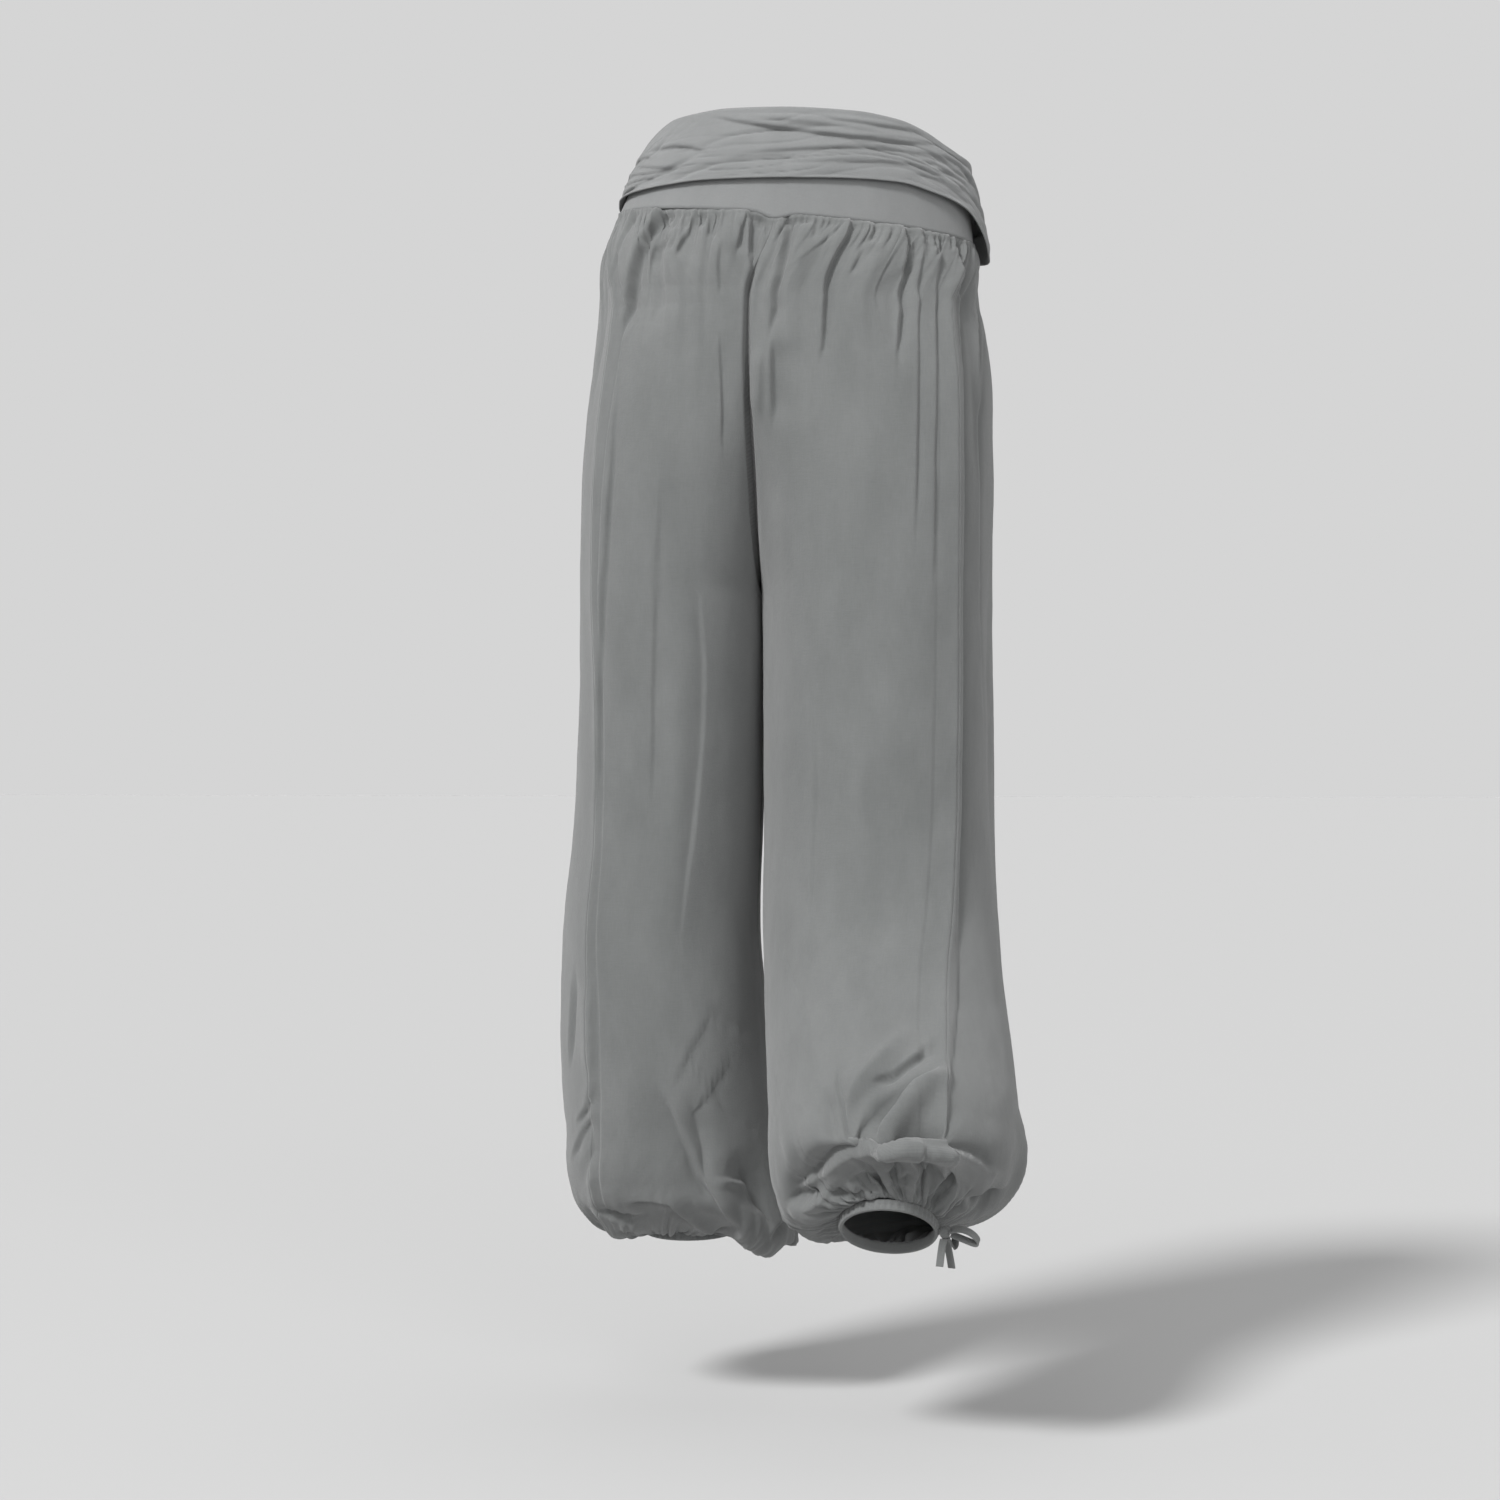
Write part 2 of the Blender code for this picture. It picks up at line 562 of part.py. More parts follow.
def waist_ring(around, z, out):
    """Points of the waist at angles in degrees and heights, moved out from the body."""
    angle = np.radians(around)
    half_width = np.where(np.sin(angle) > 0.0, SECTIONS[RIGHT][0].outer, SECTIONS[LEFT][0].outer)
    seam = seam_height(half_width * np.sin(angle), -WAIST_FRONT * np.cos(angle))
    rise = np.maximum(z - seam, 0.0)
    middle = (WAIST_BACK + WAIST_FRONT) / 2
    half_depth = (WAIST_FRONT - WAIST_BACK) / 2 - BAND_DEPTH_TAPER * rise + out
    half_width = half_width - BAND_TAPER * rise + out
    return np.column_stack((BAND_LEAN * rise + half_width * np.sin(angle),
                            middle - half_depth * np.cos(angle), z))


def wrinkle_height(around, z):
    """Height of all wrinkles of the turned-down layer at its points."""
    radius = 2.3
    height = np.zeros_like(z)
    for row in WRINKLES:
        line = Fold(row.width, row.height, radius * row.around_1, row.z_1,
                    radius * row.around_2, row.z_2, radius * row.around_3, row.z_3)
        height = height + fold_height(line, radius * around, z)
    return height


def band_points(around, share):
    """Middle surface of the band: share 0 at the waist seam, 1 at the top fold, 2 at the free edge."""
    top, edge, stand_off = band_row(around)
    seam = waist_ring(around, np.full_like(around, -200.0), 0.0)
    bottom = seam_height(seam[:, 0], seam[:, 1]) + SEAM_GAP / 2
    straight = top - FOLD_RADIUS
    inner = -KNIT / 2
    if share <= 1.0:
        return waist_ring(around, bottom + (straight - bottom) * share, inner)
    if share <= 1.2:
        turn = (share - 1.0) / 0.2 * math.pi
        return waist_ring(around, straight + FOLD_RADIUS * math.sin(turn),
                          inner + FOLD_RADIUS * (1.0 - math.cos(turn)))
    fall = (share - 1.2) / 0.8
    z = straight + (edge - straight) * fall
    start = inner + 2 * FOLD_RADIUS
    out = start + (stand_off - start) * smooth(fall) + 2.0 * math.sin(math.pi * fall)
    ends = smooth(fall / 0.12) * smooth((1.0 - fall) / 0.12 + 0.3)
    return waist_ring(around, z, out + ends * wrinkle_height(around, z))


def waistband(material):
    """Jersey band from the waist seam up to its top fold and down again outside."""
    around = np.linspace(-180.0, 180.0, BAND_COLUMNS + 1)[:-1]
    shares = list(np.linspace(0.0, 1.0, INNER_ROWS + 1))
    shares += list(np.linspace(1.0, 1.2, TURN_ROWS + 1))[1:]
    shares += list(np.linspace(1.2, 2.0, OUTER_ROWS + 1))[1:]
    step = 0.02
    first, second = [], []
    for share in shares:
        middle = band_points(around, share)
        low, high = max(share - step, 0.0), min(share + step, 2.0)
        along = band_points(around, high) - band_points(around, low)
        across = band_points(around + 0.5, share) - band_points(around - 0.5, share)
        facing = np.cross(along, across)
        facing /= np.linalg.norm(facing, axis=1)[:, None]
        first.append(middle + facing * KNIT / 2)
        second.append(middle - facing * KNIT / 2)
    return wall_body("waistband", first, second, material, closed=True)


# ------------------------------------------------------------------ cuffs and cuff tie
CUFF_HEIGHT = 9.0
CUFF_WALL = 2.0
CUFF_SWELL = 0.9
CUFF_COLUMNS = 28
TAPE_WIDTH, TAPE = 7.0, 1.6


def cuff_frame(side):
    """Rim points of the leg's end, the ring's middle, and the way down the ankle."""
    points = ring(side, LAST_ROW[side])[0]
    middle = (points.max(axis=0) + points.min(axis=0)) / 2
    down = np.cross(points[DENSE // 4] - middle, points[DENSE // 2] - middle) * side
    down /= np.linalg.norm(down)
    return points, middle, down * (-1.0 if down[2] > 0.0 else 1.0)


def cuff(side, material):
    """Narrow elastic band in which a leg ends."""
    points, middle, down = cuff_frame(side)
    picks = np.linspace(0, DENSE - 1, CUFF_COLUMNS + 1).astype(int)[:-1]
    rim = points[picks]
    away = rim - middle
    away /= np.linalg.norm(away, axis=1)[:, None]
    outer, inner = [], []
    for share in (0.0, 0.25, 0.75, 1.0):
        swell = CUFF_SWELL if 0.0 < share < 1.0 else 0.0
        row = rim + down * (SEAM_GAP + share * CUFF_HEIGHT)
        outer.append(row + away * swell)
        inner.append(row - away * CUFF_WALL)
    name = "cuff_left" if side == LEFT else "cuff_right"
    return wall_body(name, outer, inner, material, closed=True)


def tape(name, path, width_way, material):
    """Flat tape swept along a path, its width along width_way."""
    path = np.asarray(path, dtype=float)
    width_way = np.asarray(width_way, dtype=float)
    along = np.gradient(path, axis=0)
    along /= np.linalg.norm(along, axis=1)[:, None]
    flat = width_way - along * (along @ width_way)[:, None]
    flat /= np.linalg.norm(flat, axis=1)[:, None]
    face = np.cross(along, flat)
    corners = [path + flat * TAPE_WIDTH / 2 * u + face * TAPE / 2 * v
               for u, v in ((-1, -1), (1, -1), (1, 1), (-1, 1))]
    vertices = np.stack(corners, axis=1).reshape(-1, 3)
    faces = [(0, 1, 2, 3)]
    for start in range(0, 4 * (len(path) - 1), 4):
        faces += [(start + i, start + 4 + i, start + 4 + (i + 1) % 4, start + (i + 1) % 4)
                  for i in range(4)]
    end = 4 * (len(path) - 1)
    faces.append((end + 3, end + 2, end + 1, end))
    return add_body(name, vertices, faces, material)


# The tie sits at the outer side of the right cuff. A loop: how far it reaches, how tall its eye is, its
# direction around the cuff's outer side (0 is straight out, minus is back) and its sag.
Loop = namedtuple("Loop", "name reach eye heading sag")
LOOPS = [Loop("tie_loop_back", 23.0, 15.0, -12.0, 6.0), Loop("tie_loop_front", 21.0, 10.0, 78.0, 14.0)]
Tail = namedtuple("Tail", "name length heading spread")
TAILS = [Tail("tie_tail_back", 21.0, -120.0, 6.0), Tail("tie_tail_front", 24.0, 60.0, 9.0)]
KNOT_HALF = (4.6, 4.6, 5.0)
KNOT_DROP = 7.5
LOOP_SEAT = 0.6
LOOP_TILT = 38.0
LOOP_STATIONS, TAIL_STATIONS = 15, 6


def tie(material):
    """Knot, two loops and two tails of the tie on the right cuff."""
    points, middle, down = cuff_frame(RIGHT)
    rim = points[DENSE // 2]
    out = (rim - middle) / np.linalg.norm(rim - middle)
    knot_half = np.array(KNOT_HALF)
    centre = rim + down * KNOT_DROP + out * (CUFF_SWELL + SEAM_GAP + knot_half[0])
    knot(centre, knot_half, material)
    for loop in LOOPS:
        heading = math.radians(loop.heading)
        way = np.array((math.cos(heading), math.sin(heading), 0.0))
        start = knot_half[0] + SEAM_GAP + TAPE / 2 - LOOP_SEAT
        angle = np.linspace(-0.86 * math.pi, 0.86 * math.pi, LOOP_STATIONS)
        forward = (1.0 + np.cos(angle)) / (1.0 + math.cos(0.86 * math.pi))
        forward = (forward - forward[0]) / (forward.max() - forward[0])
        rise = loop.eye / 2 * np.sin(angle) * (0.55 + 0.45 * forward)
        tilt = math.radians(LOOP_TILT)
        rise_way = np.array((0.0, 0.0, math.cos(tilt))) + np.cross(way, (0.0, 0.0, 1.0)) * math.sin(tilt)
        path = (centre + way * (start + loop.reach * forward)[:, None] + np.outer(rise, rise_way)
                - np.outer(loop.sag * forward ** 2, (0.0, 0.0, 1.0)))
        tape(loop.name, path, np.cross(way, rise_way), material)
    for tail in TAILS:
        heading = math.radians(tail.heading)
        way = np.array((math.cos(heading), math.sin(heading), 0.0))
        share = np.linspace(0.0, 1.0, TAIL_STATIONS)
        path = (centre + np.outer(1.0 + tail.spread * share ** 0.7, way)
                - np.outer(knot_half[2] + SEAM_GAP + 0.3 + tail.length * share, (0.0, 0.0, 1.0)))
        tape(tail.name, path, np.cross(way, (0.0, 0.0, 1.0)), material)


def knot(centre, half, material):
    """Small rounded knot."""
    rings, columns = 6, 10
    vertices, faces = [centre + np.array((0, 0, half[2]))], []
    for i in range(1, rings):
        polar = math.pi * i / rings
        for j in range(columns):
            angle = 2 * math.pi * j / columns
            vertices.append(centre + half * np.array((math.sin(polar) * math.cos(angle),
                                                      math.sin(polar) * math.sin(angle),
                                                      math.cos(polar))))
    vertices.append(centre - np.array((0, 0, half[2])))
    last = len(vertices) - 1
    for j in range(columns):
        after = (j + 1) % columns
        faces.append((0, 1 + j, 1 + after))
        faces.append((last, last - columns + after, last - columns + j))
        for i in range(rings - 2):
            row, below = 1 + i * columns, 1 + (i + 1) * columns
            faces.append((row + j, below + j, below + after, row + after))
    return add_body("tie_knot", vertices, faces, material)


def cloth_material(name, colour, roughness):
    """Plain cloth material."""
    material = bpy.data.materials.new(name)
    material.use_nodes = True
    shader = material.node_tree.nodes["Principled BSDF"]
    shader.inputs["Base Color"].default_value = (*colour, 1.0)
    shader.inputs["Roughness"].default_value = roughness
    shader.inputs["Metallic"].default_value = 0.0
    material.diffuse_color = (*colour, 1.0)
    return material


def clear_scene():
    """Remove the objects of the start-up scene."""
    for item in list(bpy.data.objects):
        bpy.data.objects.remove(item, do_unlink=True)


def main():
    clear_scene()
    woven = cloth_material("grey_woven", (0.27, 0.28, 0.28), 0.9)
    jersey = cloth_material("grey_jersey", (0.31, 0.32, 0.32), 0.85)
    for side in (LEFT, RIGHT):
        for panel in WAVES:
            leg_panel(side, panel, woven)
        cuff(side, woven)
    waistband(jersey)
    tie(woven)


main()
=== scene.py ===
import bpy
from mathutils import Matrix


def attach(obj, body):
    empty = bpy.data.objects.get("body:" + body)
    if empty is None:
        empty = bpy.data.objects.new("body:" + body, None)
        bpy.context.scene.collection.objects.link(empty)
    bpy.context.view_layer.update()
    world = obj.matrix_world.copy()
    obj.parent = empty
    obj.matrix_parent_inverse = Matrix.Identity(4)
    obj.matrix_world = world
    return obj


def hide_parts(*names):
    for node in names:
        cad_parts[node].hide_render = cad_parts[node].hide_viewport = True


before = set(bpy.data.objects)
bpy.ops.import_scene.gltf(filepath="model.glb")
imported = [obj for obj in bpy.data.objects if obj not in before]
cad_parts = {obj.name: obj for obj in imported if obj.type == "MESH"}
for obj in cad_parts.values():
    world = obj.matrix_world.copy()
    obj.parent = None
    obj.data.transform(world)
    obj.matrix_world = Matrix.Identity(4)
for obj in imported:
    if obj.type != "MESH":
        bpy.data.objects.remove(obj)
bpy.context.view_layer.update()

import math
from collections import namedtuple

import bpy
import numpy as np

# Grey harem trousers, worn and walking, with no wearer. Tables are in millimetres, meshes in metres.
# +X is the wearer's right, +Y the wearer's front, +Z up; the origin is the middle of the waist seam.
MM = 0.001
LEFT, RIGHT = -1, 1
SIDES = {LEFT: "left", RIGHT: "right"}
WOVEN_WALL, KNIT_WALL = 0.9, 1.1


def by_side(row_type, left, right):
    """A table's rows for each leg, with their columns named."""
    return {LEFT: [row_type(*row) for row in left], RIGHT: [row_type(*row) for row in right]}


def smooth(value):
    """Smooth step from 0 to 1."""
    value = np.clip(value, 0, 1)
    return value * value * (3 - 2 * value)


def bell(value):
    """Smooth bump: 1 at zero, next to nothing beyond 2 on both sides."""
    return np.exp(-value ** 2)


def unit(vectors):
    """Vectors made 1 long."""
    return vectors / np.maximum(np.linalg.norm(vectors, axis=-1, keepdims=True), 1e-9)


def lengths_along(points):
    """Distance of each point from the first, along their line."""
    return np.concatenate(([0], np.cumsum(np.linalg.norm(np.diff(points, axis=0), axis=1))))


def points_at(places, known, points):
    """Points of a line at places along it; known has those of the line's own points."""
    return np.column_stack([np.interp(places, known, points[:, axis]) for axis in range(3)])


def together(*parts):
    """Arrays stacked as coordinates, each spread over the rows and columns of the others."""
    return np.stack(np.broadcast_arrays(*parts), axis=-1)


# ---- form of the legs
WAIST_BACK, WAIST_FRONT = -100, 96
WAIST_ROLL = 0.098
FRONT_DIP = 12
POINT_DIP, POINT_WIDTH = 5, 11
ROLL_FADES_BY = 130
BELOW_KNEE = -700
CENTRE_LEAN = -21
LEAN_BY = 70
CROTCH = -310
CROTCH_Y = -4
SEAT_SWELL, BELLY_SWELL = 17, 13
SEAMS_PART_BY = 120
# Where round a section the pull to the centre seams starts, and how far it reaches past the turn.
PULL_FROM, PULL_SPAN = math.radians(40), math.radians(50)

# One row for each cross-section of a leg, from the waist seam to the cuff; the level ones need no lifts.
COLUMNS = "level outer inner back front turn squareness lift_back lift_front lift_outer lift_inner"
Section = namedtuple("Section", COLUMNS, defaults=(0, 0, 0, 0))
SECTIONS = by_side(Section, [
    (0, 146, 0, -100, 96, 12, 2),
    (-25, 149, 0, -107, 101, 24, 2),
    (-60, 140, 0, -113, 104, 34, 2.05),
    (-120, 146, 0, -118, 107, 42, 2.1),
    (-200, 154, 0, -116, 109, 48, 2.2),
    (-310, 159, 0, -103, 111, 54, 2.3),
    (-420, 163, 2, -90, 114, 59, 2.3),
    (-520, 169, 7, -80, 119, 61, 2.3),
    (-600, 178, 10, -72, 126, 61, 2.3),
    (-680, 182, 3, -64, 134, 62, 2.3),
    (-760, 181, -4, -54, 146, 58, 2.25),
    (-815, 180, -14, -42, 158, 52, 2.2, 4, -4, 0, -4),
    (-843, 171, -19, -30, 160, 46, 2.15, 12, -6, -4, -14),
    (-857, 158, -16, -8, 154, 39, 2.1, 16, -7, -7, -21),
    (-864, 144, -2, 14, 144, 30, 2.05, 10, -3, -4, -12),
    (-862, 129, 20, 32, 137, 24, 2, -1, 2, 0, -2),
    (-861, 118, 40, 48, 126, 20, 2, -3, 3, 0, 0),
], [
    (0, 157, 0, -100, 96, 14, 2),
    (-25, 166, 0, -108, 101, 22, 2),
    (-60, 180, 0, -115, 104, 30, 2.05),
    (-120, 193, 0, -123, 106, 37, 2.1),
    (-200, 195, 0, -126, 108, 42, 2.2),
    (-310, 194, 0, -123, 109, 46, 2.3),
    (-420, 196, 1, -119, 108, 48, 2.3),
    (-520, 197, 2, -120, 102, 50, 2.3),
    (-580, 200, 3, -130, 86, 53, 2.3, 6, -5, 0, 0),
    (-640, 207, 8, -158, 50, 58, 2.25, 16, -16, 0, 0),
    (-700, 219, 16, -204, 0, 62, 2.2, 26, -28, 0, 0),
    (-750, 225, 24, -250, -42, 62, 2.15, 32, -38, 0, 0),
    (-782, 222, 27, -267, -58, 57, 2.1, 36, -46, 0, 0),
    (-804, 209, 31, -258, -66, 49, 2.1, 49, -34, 0, -2),
    (-818, 196, 39, -243, -82, 36, 2.05, 51, -26, 6, -8),
    (-823, 179, 60, -231, -113, 28, 2, 37, -20, 7, -8),
    (-821, 164, 86, -220, -156, 20, 2, 22, -22, 0, 0),
])
DENSE = 481


def seam_height(x, y):
    """Height of the waist seam over a point of the waist ring."""
    point = POINT_DIP * bell(x / POINT_WIDTH) * (y < 0)
    return -WAIST_ROLL * x - FRONT_DIP * (np.maximum(y, 0) / WAIST_FRONT) ** 2 - point


def centre_plane(z):
    """X of the centre seams at a height."""
    return CENTRE_LEAN * smooth(-z / LEAN_BY)


def crotch_curve(z):
    """Y of the centre-back and the centre-front seam at a height above the crotch."""
    drop = np.clip(z / CROTCH, 0, 1)
    arch = np.sqrt(1 - drop ** 3)
    swell = np.sin(math.pi * np.minimum(drop / 0.75, 1))
    back = CROTCH_Y + (WAIST_BACK - CROTCH_Y - SEAT_SWELL * swell) * arch
    front = CROTCH_Y + (WAIST_FRONT - CROTCH_Y + BELLY_SWELL * swell) * arch
    return back, front


def key_points(section):
    """Back, front, outer and inner point of a section, in the plane's own frame."""
    middle = (section.outer + section.inner) / 2
    depth = (section.back + section.front) / 2
    return np.array([
        (middle, section.back, section.level + section.lift_back),
        (middle, section.front, section.level + section.lift_front),
        (section.outer, depth, section.level + section.lift_outer),
        (section.inner, depth, section.level + section.lift_inner),
    ])


def run_lengths(sections):
    """Mean distance down the cloth from the waist seam to each section."""
    steps = [0]
    for upper, lower in zip(sections, sections[1:]):
        hidden = 3 if lower.level >= CROTCH else 4
        gaps = key_points(upper)[:hidden] - key_points(lower)[:hidden]
        steps.append(np.linalg.norm(gaps, axis=1).mean())
    return np.cumsum(steps)


RUNS = {side: run_lengths(SECTIONS[side]) for side in SECTIONS}
CROTCH_ROW = {side: RUNS[side][[row.level for row in SECTIONS[side]].index(CROTCH)] for side in SECTIONS}
LAST_ROW = {side: RUNS[side][-1] for side in SECTIONS}


def section_at(side, run):
    """Section at a distance down the cloth, by a cubic through the table's rows."""
    runs = RUNS[side]
    table = np.array(SECTIONS[side], dtype=float)
    slopes = np.gradient(table, runs, axis=0)
    slopes[0] = (table[1] - table[0]) / (runs[1] - runs[0])
    span = int(np.clip(np.searchsorted(runs, run, side="right") - 1, 0, len(runs) - 2))
    width = runs[span + 1] - runs[span]
    t = (run - runs[span]) / width
    value = (table[span] * (2 * t ** 3 - 3 * t ** 2 + 1)
             + slopes[span] * width * (t ** 3 - 2 * t ** 2 + t)
             + table[span + 1] * (3 * t ** 2 - 2 * t ** 3)
             + slopes[span + 1] * width * (t ** 3 - t ** 2))
    return Section(*value)


def ring(side, run):
    """Smooth ring of a leg from centre back round the outer side to centre front.

    The second array is the distance of each point from the side seam, along the ring.
    """
    row = section_at(side, run)
    middle_y = (row.back + row.front) / 2
    half_depth = (row.front - row.back) / 2
    power = 2 / row.squareness
    if run < CROTCH_ROW[side]:
        back_seam, front_seam = crotch_curve(row.level)
        opening = (front_seam - back_seam) / (2 * half_depth)
        over = math.acos(min(max(opening, 0), 1) ** (1 / power))
        share = math.sin(over) ** power
        centre = row.outer * share / (1 + share)
        half_width = row.outer - centre
    else:
        over = math.pi / 2
        centre = (row.outer + row.inner) / 2
        half_width = (row.outer - row.inner) / 2
    angle = np.linspace(-math.pi / 2 - over, math.pi / 2 + over, DENSE)
    cosine, sine = np.cos(angle), np.sin(angle)
    across = centre + half_width * np.sign(cosine) * np.abs(cosine) ** power
    y = middle_y + half_depth * np.sign(sine) * np.abs(sine) ** power
    z = (row.level
         + (row.lift_back + row.lift_front) / 2 * sine ** 2 - (row.lift_back - row.lift_front) / 2 * sine
         + (row.lift_outer + row.lift_inner) / 2 * cosine ** 2
         + (row.lift_outer - row.lift_inner) / 2 * cosine)
    if run >= CROTCH_ROW[side]:
        apart = smooth((run - CROTCH_ROW[side]) / SEAMS_PART_BY)
        back_seam = front_seam = y[0] + (CROTCH_Y - y[0]) * (1 - apart)
    else:
        across[0] = across[-1] = 0
    near_back = smooth((-angle - PULL_FROM) / (over + PULL_SPAN))
    near_front = smooth((angle - PULL_FROM) / (over + PULL_SPAN))
    y = y + near_back * (back_seam - y[0]) + near_front * (front_seam - y[-1])
    fade = 1 - smooth(run / ROLL_FADES_BY)
    x = side * np.maximum(across, 0 if row.level > BELOW_KNEE else -100) + centre_plane(z)
    lowered = z + fade * seam_height(x, y)
    x = x + (near_back + near_front) * (centre_plane(lowered) - centre_plane(z))
    z = lowered
    points = np.column_stack((x, y, z))
    length = lengths_along(points[:, :2])
    seam = np.interp(-math.radians(row.turn), angle, length)
    return points, length - seam


# ---- folds and gathers
Line = namedtuple("Line", "width height points")


def line_row(width, height, *places):
    """A fold or a crease, with the points of its line in pairs."""
    return Line(width, height, tuple(zip(places[::2], places[1::2])))


# One row for each fold: width and height of the ridge (a trough is negative), then the points of its
# line, each as the distance from the side seam (minus is towards centre back) and the run down the leg.
# The folds at the waist are lower than the solid's, because the finer creases lie over them.
FOLDS = by_side(line_row, [
    (9, -3.6, -73, 4, -52, 40, -36, 112),
    (10, 1.8, -90, 6, -72, 45, -58, 120),
    (8, -1.8, -104, 8, -97, 28, -80, 58),
    (10, -1.8, -130, 24, -127, 70, -124, 112),
    (8, -2.25, -153, 4, -149, 60, -146, 130),
    (10, -2.25, 22, 8, 27, 70, 30, 170),
    (12, 1.8, 62, 8, 66, 60, 70, 140),
    (11, -2.7, 98, 6, 102, 70, 104, 190),
    (12, 1.8, 138, 8, 140, 60, 142, 130),
    (10, -2.7, 178, 6, 180, 60, 184, 150),
    (10, -2.25, 222, 10, 226, 70, 230, 180),
    (26, 4, -70, 330, -68, 480, -72, 640),
    (24, -4, 70, 260, 78, 430, 84, 600),
    (26, 4, 160, 300, 168, 470, 176, 640),
    (11, -6, -82, 730, -100, 790, -108, 850),
    (13, 2.8, -98, 760, -116, 830, -138, 890),
    (17, -9, -126, 785, -150, 830, -174, 876),
    (10, 5, -65, 850, -84, 878, -112, 906),
    (8, -4, 6, 745, -2, 790, 10, 830),
    (12, -5, 60, 760, 84, 810, 96, 862),
    (14, 5, 120, 750, 140, 810, 150, 870),
    (12, -6, 190, 770, 186, 820, 180, 880),
    (24, 10, -64, 884, -30, 886, 20, 884),
    (26, 11, -190, 884, -145, 888, -100, 888),
], [
    (10, -2.7, -161, 4, -163, 48, -157, 118),
    (11, 1.8, -143, 10, -141, 60, -138, 130),
    (10, -2.25, -126, 10, -122, 50, -116, 150),
    (8, -1.8, -101, 6, -100, 18, -98, 38),
    (10, 1.8, -82, 8, -78, 60, -74, 130),
    (12, -2.25, -66, 8, -55, 60, -52, 142),
    (9, -1.125, -36, 10, -33, 30, -31, 72),
    (11, -2.25, 19, 18, 30, 110, 34, 250),
    (12, 1.8, 60, 8, 62, 60, 66, 150),
    (11, -2.7, 96, 6, 100, 70, 104, 190),
    (12, 1.8, 138, 8, 140, 60, 142, 130),
    (10, -2.7, 178, 6, 180, 60, 184, 150),
    (10, -2.25, 224, 10, 226, 70, 230, 180),
    (28, 4, -66, 380, -80, 500, -60, 620),
    (24, -4, 80, 260, 86, 430, 84, 600),
    (26, 4, 170, 300, 176, 470, 170, 640),
    (12, 6, -90, 822, -68, 780, -20, 712),
    (11, 6, -120, 862, -45, 838, 48, 846),
    (10, -3.6, -92, 850, -74, 806, -17, 736),
    (9, -6, -83, 850, -49, 806, -15, 766),
    (9, -5, -98, 780, -95, 815, -94, 850),
    (11, -7, 92, 846, 50, 866, 12, 888),
    (12, 6, 110, 770, 120, 830, 130, 880),
    (12, -7, 160, 760, 156, 820, 150, 880),
    (12, 6, 200, 770, 196, 830, 190, 880),
])
